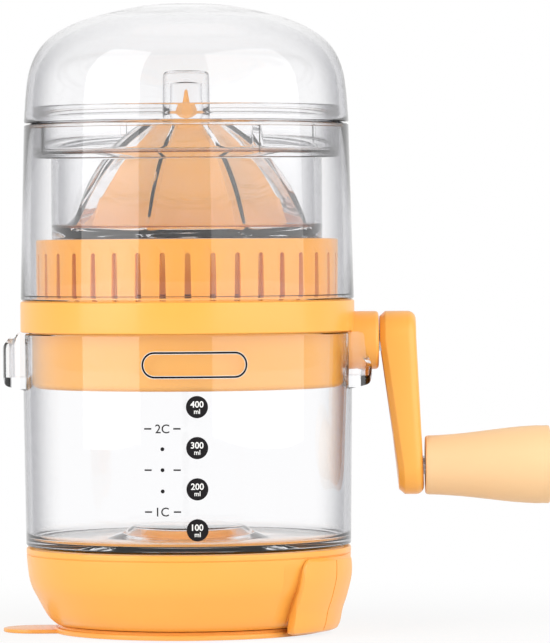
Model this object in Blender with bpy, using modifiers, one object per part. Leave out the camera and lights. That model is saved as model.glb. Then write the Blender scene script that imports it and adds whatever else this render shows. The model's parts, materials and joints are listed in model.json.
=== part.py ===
"""Hand-crank citrus juicer: suction base, juice cup, geared housing, strainer, reamer, press cup and lid.

Metres, +Z up. The origin is the middle of the suction pad's flat underside. The crank's axis runs along +X.
"""

from math import cos, degrees, pi, radians, sin, tan

import bmesh
import bpy
from mathutils import Matrix, Vector

MM = 0.001

# overall sizes
BODY_R = 52.8 * MM  # juice cup's outer radius at its rim
BASE_H = 27.0 * MM  # suction base, from the pad's underside to the deck
CUP_H = 68.2 * MM  # juice cup
RING_H = 9.8 * MM  # housing's outer ring
SLEEVE_H = 55.9 * MM  # cover sleeve
LID_H = 38.2 * MM  # dome lid
CRANK_THROW = 40.1 * MM  # crank axis to grip axis
GRIP_L = 39.8 * MM

# fits
GAP = 0.3 * MM  # between parts that rest on or lie against each other
RUN = 0.1 * MM  # radial clearance of a shaft in its bush
PRESS = 0.1 * MM  # radial clearance of a bush in its seat

# walls
WALL = 2.0 * MM
CLEAR_WALL = 2.2 * MM

# smoothness
ROUND = 36
MEDIUM = 18
SMALL = 10
CUTTER_PHASE = radians(3.1)

# suction base
PAD_R = BODY_R - 9.6 * MM
PAD_T = 1.6 * MM
TAB_T = 1.2 * MM
TAB_HALF = 11.0 * MM
TAB_REACH = PAD_R + 16.3 * MM
PLATE_Z = 0.274 * BASE_H
PLATE_T = 1.6 * MM
COLLAR_TOP = 10.6 * MM
STUD_R = 3.0 * MM
PIN_R = 1.2 * MM
PIN_Z = 15.5 * MM
PIN_HALF = 13.3 * MM
CAM_IN_R = 5.5 * MM
CAM_R = 11.0 * MM
CAM_Z = COLLAR_TOP + GAP
CAM_LOW = 13.6 * MM  # cam height under the pin at rest
ARM_T = 2.5 * MM
ARM_HALF = 4.0 * MM
GUIDE_R = 12.4 * MM
BOSS_R = 15.5 * MM
BOSS_H = 4.0 * MM
DECK_T = 2.1 * MM
STUD_LIFT = 2.0 * MM
LEVER_TRAVEL = radians(24.0)
LEVER_FROM = radians(-46.0)
LEVER_TO = radians(-12.0)
ARM_AT = radians(-40.0)
SCREW_RING = 33.0 * MM
SCREW_AT = (60.0, 180.0, 300.0)

# levels
CUP_Z = BASE_H + GAP
RIM_Z = CUP_Z + CUP_H
RING_Z = RIM_Z + GAP
LEDGE_Z = RING_Z + RING_H
SLEEVE_Z = LEDGE_Z + GAP
SLEEVE_TOP = SLEEVE_Z + SLEEVE_H
FLANGE_Z = SLEEVE_TOP - 0.9 * MM
FLANGE_T = 1.2 * MM
LID_Z = FLANGE_Z + FLANGE_T + GAP
AXIS_Z = RIM_Z - 2.9 * MM  # crank axis
GRIP_Z = AXIS_Z - CRANK_THROW

# cup
CUP_FLOOR = 2.2 * MM
PUNT_H = 6.0 * MM
PUNT_R = 17.9 * MM
SPOUT_REACH = BODY_R + 6.1 * MM
SPOUT_HALF = 11.6 * MM
SPOUT_DEPTH = 15.8 * MM
SPOUT_CORNER = 7.4 * MM
HUB_R = 9.3 * MM  # crank boss and crank hub

# housing
SKIRT_R = BODY_R - 3.0 * MM
SKIRT_Z = RIM_Z - 17.7 * MM
DECK_Z = LEDGE_Z - 5.6 * MM
SPIGOT_R = BODY_R - 2.2 * MM
SPIGOT_TOP = LEDGE_Z + 1.3 * MM
GEARBOX_R = 13.5 * MM
GEARBOX_Z = AXIS_Z - 10.6 * MM
TURRET_TOP = AXIS_Z + 13.4 * MM
BORE_R = 4.9 * MM
SHAFT_R = 3.5 * MM
BOSS_END = BODY_R + 8.3 * MM
DRAINS = 9

# bevel gears, whose teeth all point at the crossing of the two axes
PINION_TEETH = 12
GEAR_TEETH = 18
MODULE = 1.0 * MM
INNER_SCALE = 0.70
GEAR_TIP = 1.2 * MM
GEAR_ROOT = 1.25 * MM
PINION_TIP = 0.75 * MM
PINION_ROOT = 0.95 * MM
TOOTH_FILL = 0.40  # tooth width over tooth pitch
FLANK = radians(20.0)

# strainer, reamer and press cup
STRAINER_R = BODY_R - 4.5 * MM
STRAINER_TOP = LEDGE_Z + 19.7 * MM
STRAINER_Z = DECK_Z + 2.4 * MM
SLOTS = 39
SLOT_PHASE = 0.38  # share of a slot's pitch
SLOT_W = 1.8 * MM
SLOT_TOP = STRAINER_TOP - 4.3 * MM
SLOT_BOTTOM = STRAINER_Z + 3.4 * MM
RIDGES = 8
RIDGE_PHASE = radians(-17.0)
REAMER_Z = LEDGE_Z + 3.2 * MM
REAMER_R = BODY_R - 17.8 * MM
PRESS_Z = SLEEVE_TOP - 35.9 * MM
PRESS_LOW = PRESS_Z - 4.6 * MM
PRESS_R = BODY_R - 9.5 * MM
PRESS_SKIRT_R = 0.93 * BODY_R

# crank
ARM_X = BOSS_END + GAP
ARM_LEAN = 2.0 * MM
ARM_BLADE = 8.0 * MM
ARM_OUT = ARM_X + 11.6 * MM
GRIP_X = ARM_OUT + ARM_LEAN + 2 * GAP + 0.2 * MM
GRIP_R0 = 9.45 * MM
GRIP_R1 = 12.65 * MM
AXLE_R = 3.0 * MM

ORANGE = (0.98, 0.52, 0.11, 1.0)
CREAM = (0.93, 0.62, 0.30, 1.0)
CLEAR = (0.90, 0.93, 0.95, 0.35)
STEEL = (0.60, 0.61, 0.63, 1.0)
RUBBER = (0.95, 0.60, 0.25, 1.0)
NYLON = (0.86, 0.85, 0.80, 1.0)

for old in list(bpy.data.objects):
    bpy.data.objects.remove(old, do_unlink=True)

JUICER = bpy.data.collections.new("citrus_juicer")
CUTTERS = bpy.data.collections.new("cutters")
for made in (JUICER, CUTTERS):
    bpy.context.scene.collection.children.link(made)
CUTTERS.hide_render = True


def material(name, colour, roughness, metallic=0.0):
    mat = bpy.data.materials.new(name)
    mat.use_nodes = True
    shader = mat.node_tree.nodes["Principled BSDF"]
    shader.inputs["Base Color"].default_value = colour
    shader.inputs["Roughness"].default_value = roughness
    shader.inputs["Metallic"].default_value = metallic
    shader.inputs["Alpha"].default_value = colour[3]
    return mat


def finish(obj, mat=None, at=(0, 0, 0), turn=None, smooth=True):
    """Link a node with its material, or a cutter if it has none."""
    mesh = obj.data
    if smooth:
        mesh.shade_smooth()
        mesh.set_sharp_from_angle(angle=radians(35))
    if mat is None:
        CUTTERS.objects.link(obj)
        obj.hide_render = True
        obj.display_type = "WIRE"
    else:
        JUICER.objects.link(obj)
        mesh.materials.append(mat)
    obj.location = at
    if turn is not None:
        obj.rotation_euler = turn
    return obj


def faced(name, points, faces, **how):
    """An object of these points and faces, with its faces turned outwards."""
    mesh = bpy.data.meshes.new(name)
    shape = bmesh.new()
    corners = [shape.verts.new(p) for p in points]
    for face in faces:
        shape.faces.new([corners[i] for i in face])
    bmesh.ops.triangulate(shape, faces=[face for face in shape.faces if len(face.verts) > 4])
    bmesh.ops.recalc_face_normals(shape, faces=shape.faces)
    shape.to_mesh(mesh)
    shape.free()
    return finish(bpy.data.objects.new(name, mesh), **how)


def revolve(name, profile, steps=ROUND, **how):
    """A body turned about Z. profile is (r, z), down its outer side, and closed unless both ends are on the axis.

    A cutter starts at a few degrees, so that its corners don't line up with those of what it cuts.
    """
    phase = 0.0 if "mat" in how else CUTTER_PHASE * (1 + 0.37 * (len(CUTTERS.objects) % 5))
    mesh = bpy.data.meshes.new(name)
    edges = [(i, i + 1) for i in range(len(profile) - 1)]
    if profile[0][0] > 0:
        edges.append((len(profile) - 1, 0))
    mesh.from_pydata([(r * cos(phase), r * sin(phase), z) for r, z in profile], edges, [])
    obj = bpy.data.objects.new(name, mesh)
    screw = obj.modifiers.new("turn", "SCREW")
    screw.axis = "Z"
    screw.angle = 2 * pi
    screw.steps = screw.render_steps = steps
    screw.use_merge_vertices = True
    screw.merge_threshold = 0.00001
    screw.use_smooth_shade = True
    return finish(obj, smooth=False, **how)


def prism(name, outline, low, high, plane="XY", **how):
    """An outline extruded across its plane, from low to high."""
    place = {
        "XY": lambda u, v, w: (u, v, w),
        "YZ": lambda u, v, w: (w, u, v),
        "XZ": lambda u, v, w: (u, w, v),
    }[plane]
    count = len(outline)
    points = [place(u, v, w) for w in (low, high) for u, v in outline]
    sides = [(i, (i + 1) % count, count + (i + 1) % count, count + i) for i in range(count)]
    return faced(name, points, [tuple(range(count)), tuple(range(count, 2 * count))] + sides, **how)


def loft(name, rings, **how):
    """A closed body through rings of equally many points, with a fan of triangles at each end."""
    count = len(rings[0])
    points = [p for ring in rings for p in ring]
    tips = []
    for ring in (rings[0], rings[-1]):
        tips.append(len(points))
        points.append(tuple(sum(p[k] for p in ring) / count for k in range(3)))
    last = count * (len(rings) - 1)
    faces = []
    for i in range(count):
        j = (i + 1) % count
        faces += [(tips[0], j, i), (tips[1], last + i, last + j)]
        for k in range(len(rings) - 1):
            faces.append((k * count + i, k * count + j, (k + 1) * count + j, (k + 1) * count + i))
    return faced(name, points, faces, **how)


def fluted(name, profile, steps, **how):
    """A body turned about Z whose radius swells at each ridge. profile is (r, z, depth), from axis to axis.

    depth is how far the valley between two ridges lies inside r, as a share of r.
    """
    def at(r, depth, angle):
        swell = 1 - abs(sin(RIDGES / 2 * (angle - RIDGE_PHASE))) ** 0.8
        return r * (1 - depth * (1 - swell))

    points, faces = [], []
    for r, z, depth in profile[1:-1]:
        for i in range(steps):
            angle = 2 * pi * i / steps + RIDGE_PHASE
            rr = at(r, depth, angle)
            points.append((rr * cos(angle), rr * sin(angle), z))
    top, bottom = len(points), len(points) + 1
    points += [(0, 0, profile[0][1]), (0, 0, profile[-1][1])]
    rings = len(profile) - 2
    for i in range(steps):
        j = (i + 1) % steps
        faces.append((top, i, j))
        faces.append((bottom, (rings - 1) * steps + j, (rings - 1) * steps + i))
        for k in range(rings - 1):
            faces.append((k * steps + i, (k + 1) * steps + i, (k + 1) * steps + j, k * steps + j))
    return faced(name, points, faces, **how)


def cut(obj, *tools, how="DIFFERENCE"):
    for tool in tools:
        mod = obj.modifiers.new(tool.name, "BOOLEAN")
        mod.operation = how
        mod.solver = "EXACT"
        mod.object = tool
    return obj


def drum(name, r, low, high, steps=SMALL, **how):
    """A plain cylinder about Z."""
    return revolve(name, [(0, high), (r, high), (r, low), (0, low)], steps, **how)


def tube(name, inner, outer, low, high, steps=MEDIUM, **how):
    return revolve(name, [(inner, high), (outer, high), (outer, low), (inner, low)], steps, **how)


def block(name, low, high, **how):
    (x0, y0, z0), (x1, y1, z1) = low, high
    return prism(name, [(x0, y0), (x1, y0), (x1, y1), (x0, y1)], z0, z1, smooth=False, **how)


def polar(r, angle):
    return (r * cos(angle), r * sin(angle))


ALONG_X = (0, pi / 2, 0)  # turns local +Z to world +X

orange = material("orange_abs", ORANGE, 0.35)
orange_food = material("orange_pp", ORANGE, 0.4)
cream = material("cream_abs", CREAM, 0.45)
clear = material("clear_as", CLEAR, 0.05)
steel = material("steel", STEEL, 0.3, 1.0)
rubber = material("suction_rubber", RUBBER, 0.5)
nylon = material("acetal", NYLON, 0.45)


# ---------------------------------------------------------------- suction base
BOWL = (  # outer side of the bowl, as (inset from the rim's radius, share of the base's height)
    (0.0, 0.965), (0.15 * MM, 0.85), (0.7 * MM, 0.667), (1.6 * MM, 0.54), (3.2 * MM, 0.426),
    (4.5 * MM, 0.335), (6.0 * MM, 0.235), (7.5 * MM, 0.16), (9.3 * MM, 0.104),
)
BOWL_R = BODY_R - 0.9 * MM
SHELL_LOW = BOWL[-1][1] * BASE_H
outer_bowl = [(BOWL_R - inset, share * BASE_H) for inset, share in BOWL]
inner_bowl = [(r - CLEAR_WALL, z) for r, z in outer_bowl if z < BASE_H - 2 * DECK_T]
base_shell = revolve(
    "base_shell",
    [(0, BASE_H + BOSS_H), (BOSS_R - 1.0 * MM, BASE_H + BOSS_H), (BOSS_R, BASE_H + BOSS_H - 1.0 * MM), (BOSS_R, BASE_H),
     (BOWL_R - 0.8 * MM, BASE_H)]
    + outer_bowl
    + [(inner_bowl[-1][0], SHELL_LOW)]
    + inner_bowl[-2::-1]
    + [(inner_bowl[0][0] + 0.6 * MM, BASE_H - DECK_T), (GUIDE_R + WALL, BASE_H - DECK_T), (GUIDE_R + WALL, CAM_LOW + 0.3 * MM),
       (GUIDE_R, CAM_LOW + 0.3 * MM), (GUIDE_R, BASE_H + BOSS_H - CLEAR_WALL), (0, BASE_H + BOSS_H - CLEAR_WALL)],
    mat=orange,
)
for i, at in enumerate(SCREW_AT):
    spot = polar(SCREW_RING, radians(at))
    cut(base_shell, drum(f"cut_post_{i}", 3.5 * MM, PLATE_Z + PLATE_T + GAP, BASE_H - DECK_T / 2, at=(*spot, 0)), how="UNION")
for i, at in enumerate(SCREW_AT):
    spot = polar(SCREW_RING, radians(at))
    cut(base_shell, drum(f"cut_post_bore_{i}", 1.4 * MM, PLATE_Z, PLATE_Z + 10 * MM, at=(*spot, 0)))

arm_swing = (ARM_AT - radians(5.3), ARM_AT + LEVER_TRAVEL + radians(5.3))
SLOT_STEPS = 8
slot_arc = [arm_swing[0] + (arm_swing[1] - arm_swing[0]) * i / SLOT_STEPS for i in range(SLOT_STEPS + 1)]
slot_plan = [polar(BODY_R + 3 * MM, a) for a in slot_arc] + [polar(BODY_R - 9 * MM, a) for a in reversed(slot_arc)]
cut(base_shell, prism("cut_lever_slot", slot_plan, CAM_Z - GAP, CAM_Z + ARM_T + GAP, smooth=False))
pin_slot = block(
    "cut_pin_slot",
    (-(GUIDE_R + 2 * WALL), -(PIN_R + GAP), CAM_LOW - 2 * MM),
    (GUIDE_R + 2 * WALL, PIN_R + GAP, PIN_Z + STUD_LIFT + 2.4 * MM),
)
cut(base_shell, pin_slot)

base_plate = revolve(
    "base_plate",
    [(STUD_R + GAP, COLLAR_TOP), (STUD_R + 4.6 * MM, COLLAR_TOP), (STUD_R + 4.6 * MM, PLATE_Z + PLATE_T),
     (BODY_R - 8.6 * MM, PLATE_Z + PLATE_T), (BODY_R - 9.2 * MM, PLATE_Z), (STUD_R + GAP, PLATE_Z)],
    mat=orange,
)
for i, at in enumerate(SCREW_AT):
    spot = polar(SCREW_RING, radians(at))
    cut(base_plate, drum(f"cut_plate_hole_{i}", 1.6 * MM, PLATE_Z - MM, PLATE_Z + 2 * PLATE_T, at=(*spot, 0)))
    revolve(
        f"base_screw_{i + 1}",
        [(0, PLATE_Z + 8.5 * MM), (1.1 * MM, PLATE_Z + 8.0 * MM), (1.1 * MM, PLATE_Z - 0.1 * MM), (2.6 * MM, PLATE_Z - 0.1 * MM),
         (2.4 * MM, PLATE_Z - 1.2 * MM), (0, PLATE_Z - 1.4 * MM)],
        SMALL, at=(*spot, 0), mat=steel,
    )

suction_pad = revolve(
    "suction_pad",
    [(0, 1.7 * MM), (STUD_R + GAP, 1.7 * MM), (STUD_R + GAP, 4.4 * MM), (8.2 * MM, 4.4 * MM), (9.0 * MM, 3.8 * MM), (10.5 * MM, 2.4 * MM),
     (PAD_R - 4.4 * MM, PAD_T + 0.2 * MM), (PAD_R - 3.6 * MM, SHELL_LOW - GAP), (PAD_R - 1.8 * MM, SHELL_LOW - GAP),
     (PAD_R - 1.4 * MM, PAD_T), (PAD_R - 0.4 * MM, PAD_T), (PAD_R, PAD_T - 0.4 * MM), (PAD_R, 0), (0, 0)],
    mat=rubber,
)
tab_end = TAB_REACH - TAB_HALF
TAB_STEPS = 10
tab_plan = [(-(PAD_R - 6 * MM), -TAB_HALF)] + [
    (-tab_end - TAB_HALF * sin(pi * i / TAB_STEPS), -TAB_HALF * cos(pi * i / TAB_STEPS)) for i in range(TAB_STEPS + 1)
] + [(-(PAD_R - 6 * MM), TAB_HALF)]
cut(suction_pad, prism("cut_tab", tab_plan, 0.0, TAB_T), how="UNION")

suction_stud = revolve(
    "suction_stud",
    [(0, 24.5 * MM), (2.3 * MM, 24.5 * MM), (2.6 * MM, 24.2 * MM), (2.6 * MM, 19.6 * MM), (6.2 * MM, 19.6 * MM), (6.2 * MM, 18.4 * MM),
     (STUD_R, 17.9 * MM), (STUD_R, 5.2 * MM), (6.5 * MM, 5.1 * MM), (6.5 * MM, 4.6 * MM), (STUD_R, 4.6 * MM), (STUD_R, 2.0 * MM), (0, 2.0 * MM)],
    MEDIUM, mat=nylon,
)
cut(suction_stud, drum("cut_stud_bore", PIN_R + PRESS, -STUD_R - MM, STUD_R + MM, at=(0, 0, PIN_Z), turn=ALONG_X))
drum("stud_pin", PIN_R, -PIN_HALF, PIN_HALF, at=(0, 0, PIN_Z), turn=ALONG_X, mat=steel)

# the cam's top is a helical ramp under each end of the pin, so the stud rises evenly as the lever turns
CAM_SLOPE = STUD_LIFT / LEVER_TRAVEL
CAM_PROFILE = (  # degrees behind the pin, height over the point under the pin
    (-16.0, -16.0), (44.0, 44.0), (56.0, 44.0), (62.0, -16.0), (164.0, -16.0),
)


def cam_height(angle):
    behind = (-degrees(angle) + 16.0) % 180.0 - 16.0
    for (a0, h0), (a1, h1) in zip(CAM_PROFILE, CAM_PROFILE[1:], strict=False):
        if a0 <= behind <= a1:
            return CAM_LOW + CAM_SLOPE * radians(h0 + (h1 - h0) * (behind - a0) / (a1 - a0))
    return CAM_LOW


CAM_STEPS = 60
cam_rings = []
for i in range(CAM_STEPS):
    angle = 2 * pi * i / CAM_STEPS
    high = cam_height(angle)
    cam_rings.append([
        (*polar(CAM_IN_R, angle), CAM_Z), (*polar(CAM_IN_R, angle), high), (*polar(CAM_R, angle), high), (*polar(CAM_R, angle), CAM_Z),
    ])
cam_points = [p for ring in cam_rings for p in ring]
cam_faces = [
    (4 * i + k, 4 * i + (k + 1) % 4, (4 * ((i + 1) % CAM_STEPS)) + (k + 1) % 4, (4 * ((i + 1) % CAM_STEPS)) + k)
    for i in range(CAM_STEPS) for k in range(4)
]
cam_arm = faced("cam_arm", cam_points, cam_faces, mat=nylon)
arm_end = BODY_R - 2.6 * MM
cut(
    cam_arm,
    block("cut_arm", (CAM_R - 1.6 * MM, -ARM_HALF, CAM_Z), (arm_end, ARM_HALF, CAM_Z + ARM_T - 0.4 * MM), turn=(0, 0, ARM_AT)),
    how="UNION",
)

LEVER = (  # outer side of the lever, as (radius over the rim's radius, height)
    (-0.5, 24.8), (0.4, 23.8), (0.3, 18.3), (-1.3, 12.0), (-2.8, 7.7), (-3.7, 3.5), (-4.6, 1.4), (-5.8, 0.8),
)
LEVER_IN = ((-6.9, 1.2), (-6.9, 3.2), (-6.0, 6.6), (-4.4, 9.4), (-3.35, 12.0), (-1.85, 15.2), (-1.2, 18.3), (-0.62, 23.0), (-0.62, 24.6))
lever_panel = revolve(
    "lever_panel",
    [(BODY_R + r * MM, z * MM) for r, z in LEVER] + [(BODY_R + r * MM, z * MM) for r, z in LEVER_IN],
    2 * ROUND, mat=orange,
)
lever_mid = (LEVER_FROM + LEVER_TO) / 2
lever_half = BODY_R * sin((LEVER_TO - LEVER_FROM) / 2)
LEVER_CORNER = 4.0 * MM


def rounded(half_w, low, high, corner, steps=4):
    """A rectangle with round corners, as (u, v)."""
    spots = ((half_w - corner, high - corner, 0), (-half_w + corner, high - corner, 1), (-half_w + corner, low + corner, 2), (half_w - corner, low + corner, 3))
    return [
        (u + corner * cos(pi / 2 * (quarter + i / steps)), v + corner * sin(pi / 2 * (quarter + i / steps)))
        for u, v, quarter in spots for i in range(steps + 1)
    ]


cut(
    lever_panel,
    prism("cut_lever_shape", rounded(lever_half, 0.5 * MM, 25.0 * MM, LEVER_CORNER), BODY_R - 14 * MM, BODY_R + 4 * MM, plane="YZ", turn=(0, 0, lever_mid)),
    how="INTERSECT",
)
cut(
    lever_panel,
    block(
        "cut_lever_mortise", (BODY_R - 9 * MM, -ARM_HALF - GAP, CAM_Z - GAP), (arm_end + GAP, ARM_HALF + GAP, CAM_Z + ARM_T - 0.1 * MM),
        turn=(0, 0, ARM_AT),
    ),
)

SPRING_TURNS = 5
SPRING_R = 4.6 * MM
SPRING_WIRE = 0.4 * MM
SPRING_LOW = 19.6 * MM + SPRING_WIRE + 0.2 * MM
SPRING_HIGH = BASE_H + BOSS_H - CLEAR_WALL - SPRING_WIRE - 0.2 * MM
PER_TURN = 9
coil = bpy.data.curves.new("stud_spring", "CURVE")
coil.dimensions = "3D"
line = coil.splines.new("POLY")
line.points.add(SPRING_TURNS * PER_TURN)
for i, point in enumerate(line.points):
    turn = i / PER_TURN
    point.co = (
        *polar(SPRING_R, 2 * pi * turn), SPRING_LOW + (SPRING_HIGH - SPRING_LOW) * turn / SPRING_TURNS, 1,
    )
coil.bevel_depth = SPRING_WIRE
coil.bevel_resolution = 0
coil.use_fill_caps = True
stud_spring = bpy.data.objects.new("stud_spring", coil)
coil.materials.append(steel)
JUICER.objects.link(stud_spring)


# ---------------------------------------------------------------- juice cup
cup_foot = BODY_R - 0.8 * MM
juice_cup = revolve(
    "juice_cup",
    [(0, CUP_Z + PUNT_H), (PUNT_R - 0.6 * MM, CUP_Z + PUNT_H), (PUNT_R + 0.4 * MM, CUP_Z + PUNT_H - 0.6 * MM), (PUNT_R + 3.4 * MM, CUP_Z + 3.9 * MM),
     (PUNT_R + 7.5 * MM, CUP_Z + CUP_FLOOR), (cup_foot - WALL - 2.2 * MM, CUP_Z + CUP_FLOOR), (cup_foot - WALL - 0.6 * MM, CUP_Z + CUP_FLOOR + 0.7 * MM),
     (cup_foot - WALL, CUP_Z + CUP_FLOOR + 2.2 * MM), (BODY_R - WALL, RIM_Z - 0.3 * MM), (BODY_R - WALL + 0.4 * MM, RIM_Z), (BODY_R - 0.4 * MM, RIM_Z),
     (BODY_R, RIM_Z - 0.4 * MM), (cup_foot, CUP_Z + 0.8 * MM), (cup_foot - 0.8 * MM, CUP_Z), (PUNT_R + 6.3 * MM, CUP_Z),
     (PUNT_R + 2.1 * MM, CUP_Z + 1.4 * MM), (PUNT_R - 1.0 * MM, CUP_Z + PUNT_H - 1.9 * MM), (PUNT_R - 1.6 * MM, CUP_Z + PUNT_H - 1.7 * MM),
     (0, CUP_Z + PUNT_H - 1.7 * MM)],
    ROUND, mat=clear,
)


def spout_plan(inset, start):
    """The spout seen from above, pointing to +X."""
    corner = SPOUT_CORNER - inset
    half, reach = SPOUT_HALF - inset, SPOUT_REACH - inset
    arc = [(reach - corner + corner * sin(pi / 8 * i), half - corner + corner * cos(pi / 8 * i)) for i in range(5)]
    return [(start, half)] + arc + [(x, -y) for x, y in reversed(arc)] + [(start, -half)]


spout_low = RIM_Z - SPOUT_DEPTH
spout_side = [
    (BODY_R - 3 * MM, spout_low - 2.6 * MM), (BODY_R - 0.4 * MM, spout_low - 2.2 * MM), (SPOUT_REACH - 1.6 * MM, spout_low - 1.0 * MM),
    (SPOUT_REACH, spout_low + 0.6 * MM), (SPOUT_REACH, RIM_Z - 4.0 * MM), (SPOUT_REACH - 0.6 * MM, RIM_Z - 1.9 * MM),
    (SPOUT_REACH - 2.0 * MM, RIM_Z - 0.5 * MM), (SPOUT_REACH - 4.0 * MM, RIM_Z), (BODY_R - 3 * MM, RIM_Z),
]
for side, turn in (("crank", 0.0), ("pour", pi)):
    lip = prism(f"cut_{side}_spout", spout_plan(0.0, BODY_R - 1.7 * MM), spout_low - 4 * MM, RIM_Z + MM, turn=(0, 0, turn))
    cut(lip, prism(f"cut_{side}_side", spout_side, -SPOUT_HALF - MM, SPOUT_HALF + MM, plane="XZ", turn=(0, 0, turn)), how="INTERSECT")
    cut(juice_cup, lip, how="UNION")
for side, turn in (("crank", 0.0), ("pour", pi)):
    cut(juice_cup, prism(f"cut_{side}_pocket", spout_plan(WALL, BODY_R - 6 * MM), spout_low + 1.8 * MM, RIM_Z + MM, turn=(0, 0, turn)))
NOTCH_R = HUB_R + 0.4 * MM
notch = [(-NOTCH_R, RIM_Z + MM)] + [(-NOTCH_R * cos(pi * i / 12), AXIS_Z - NOTCH_R * sin(pi * i / 12)) for i in range(13)] + [(NOTCH_R, RIM_Z + MM)]
cut(juice_cup, prism("cut_crank_notch", notch, BODY_R - 1.4 * MM, SPOUT_REACH + MM, plane="YZ"))


# ---------------------------------------------------------------- housing
ring_r = BODY_R + 0.6 * MM
housing = revolve(
    "housing",
    [(5.1 * MM, TURRET_TOP), (GEARBOX_R + 1.0 * MM, TURRET_TOP), (GEARBOX_R + WALL, TURRET_TOP - 1.0 * MM), (GEARBOX_R + WALL, DECK_Z),
     (SPIGOT_R - 1.6 * MM, DECK_Z), (SPIGOT_R - 1.6 * MM, SPIGOT_TOP), (SPIGOT_R, SPIGOT_TOP), (SPIGOT_R, LEDGE_Z), (ring_r - 0.4 * MM, LEDGE_Z),
     (ring_r, LEDGE_Z - 0.4 * MM), (ring_r, RING_Z + 0.4 * MM), (ring_r - 0.4 * MM, RING_Z), (SKIRT_R, RING_Z), (SKIRT_R, SKIRT_Z + 2.4 * MM),
     (SKIRT_R - 0.7 * MM, SKIRT_Z + 0.7 * MM), (SKIRT_R - 2.4 * MM, SKIRT_Z), (SKIRT_R - 4.6 * MM, SKIRT_Z), (SKIRT_R - 4.6 * MM, SKIRT_Z + WALL),
     (SKIRT_R - WALL, SKIRT_Z + WALL), (SKIRT_R - WALL, DECK_Z - WALL), (GEARBOX_R + WALL, DECK_Z - WALL), (GEARBOX_R + WALL, GEARBOX_Z),
     (GEARBOX_R, GEARBOX_Z), (GEARBOX_R, TURRET_TOP - 2.2 * MM), (5.1 * MM, TURRET_TOP - 2.2 * MM)],
    ROUND, mat=orange,
)
crank_tube = revolve(
    "cut_crank_tube",
    [(0, BOSS_END), (HUB_R - 1.2 * MM, BOSS_END), (HUB_R, BOSS_END - 1.2 * MM), (HUB_R, SKIRT_R - 1.4 * MM), (7.0 * MM, SKIRT_R - 1.4 * MM),
     (7.0 * MM, GEARBOX_R + 0.9 * MM), (0, GEARBOX_R + 0.9 * MM)],
    MEDIUM, at=(0, 0, AXIS_Z), turn=ALONG_X,
)
EAR_RING = GEARBOX_R + 4.3 * MM
EARS = (60.0, 180.0, 300.0)
for i, at in enumerate(EARS):
    spot = polar(EAR_RING, radians(at))
    cut(housing, drum(f"cut_ear_{i}", 2.9 * MM, GEARBOX_Z + 0.1 * MM, DECK_Z - WALL / 2, at=(*spot, 0)), how="UNION")
cut(housing, crank_tube, how="UNION")
cut(housing, drum("cut_bore", BORE_R, GEARBOX_R - 2 * MM, BOSS_END + MM, MEDIUM, at=(0, 0, AXIS_Z), turn=ALONG_X))
for i, at in enumerate(EARS):
    spot = polar(EAR_RING, radians(at))
    cut(housing, drum(f"cut_ear_bore_{i}", 1.2 * MM, GEARBOX_Z - MM, GEARBOX_Z + 9 * MM, at=(*spot, 0)))
drain_r = SPIGOT_R - 7.6 * MM
for i in range(DRAINS):
    turn = 2 * pi * (i + 0.5) / DRAINS
    cut(housing, block(f"cut_drain_{i}", (drain_r, -2.2 * MM, DECK_Z - 2 * WALL), (drain_r + 5.0 * MM, 2.2 * MM, DECK_Z + MM), turn=(0, 0, turn)))

EAR_R = 2.9 * MM
COVER_STEPS = 60


def cover_edge(angle):
    """The gear cover's radius at an angle: a disc with an ear at each screw."""
    reach = GEARBOX_R + WALL
    for at in EARS:
        off = (angle - radians(at) + pi) % (2 * pi) - pi
        if abs(off) < pi / 2 and abs(EAR_RING * sin(off)) < EAR_R:
            reach = max(reach, EAR_RING * cos(off) + (EAR_R**2 - (EAR_RING * sin(off)) ** 2) ** 0.5)
    return reach


cover_plan = [polar(cover_edge(2 * pi * i / COVER_STEPS), 2 * pi * i / COVER_STEPS) for i in range(COVER_STEPS)]
gear_cover = prism("gear_cover", cover_plan, GEARBOX_Z - 2.0 * MM, GEARBOX_Z - GAP, mat=orange)
for i, at in enumerate(EARS):
    spot = polar(EAR_RING, radians(at))
    cut(gear_cover, drum(f"cut_cover_hole_{i}", 1.3 * MM, GEARBOX_Z - 3 * MM, GEARBOX_Z + MM, at=(*spot, 0)))
    revolve(
        f"gear_cover_screw_{i + 1}",
        [(0, GEARBOX_Z + 7.0 * MM), (0.9 * MM, GEARBOX_Z + 6.6 * MM), (0.9 * MM, GEARBOX_Z - 2.1 * MM), (2.2 * MM, GEARBOX_Z - 2.1 * MM),
         (2.0 * MM, GEARBOX_Z - 3.1 * MM), (0, GEARBOX_Z - 3.3 * MM)],
        SMALL, at=(*spot, 0), mat=steel,
    )

BUSH_L = 7.0 * MM
bush_in = GEARBOX_R + WALL + 0.2 * MM
tube("crank_bush_inner", SHAFT_R + RUN, BORE_R - PRESS, bush_in, bush_in + BUSH_L, at=(0, 0, AXIS_Z), turn=ALONG_X, mat=nylon)
tube("crank_bush_outer", SHAFT_R + RUN, BORE_R - PRESS, BOSS_END - BUSH_L - 0.2 * MM, BOSS_END - 0.2 * MM, at=(0, 0, AXIS_Z), turn=ALONG_X, mat=nylon)
tube("spindle_bush", SHAFT_R + RUN, 5.1 * MM - PRESS, TURRET_TOP - 2.2 * MM, TURRET_TOP - 0.1 * MM, mat=nylon)
tube("spindle_seal", 5.4 * MM, 8.2 * MM, TURRET_TOP + 0.2 * MM, TURRET_TOP + 1.6 * MM, mat=rubber)


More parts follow.
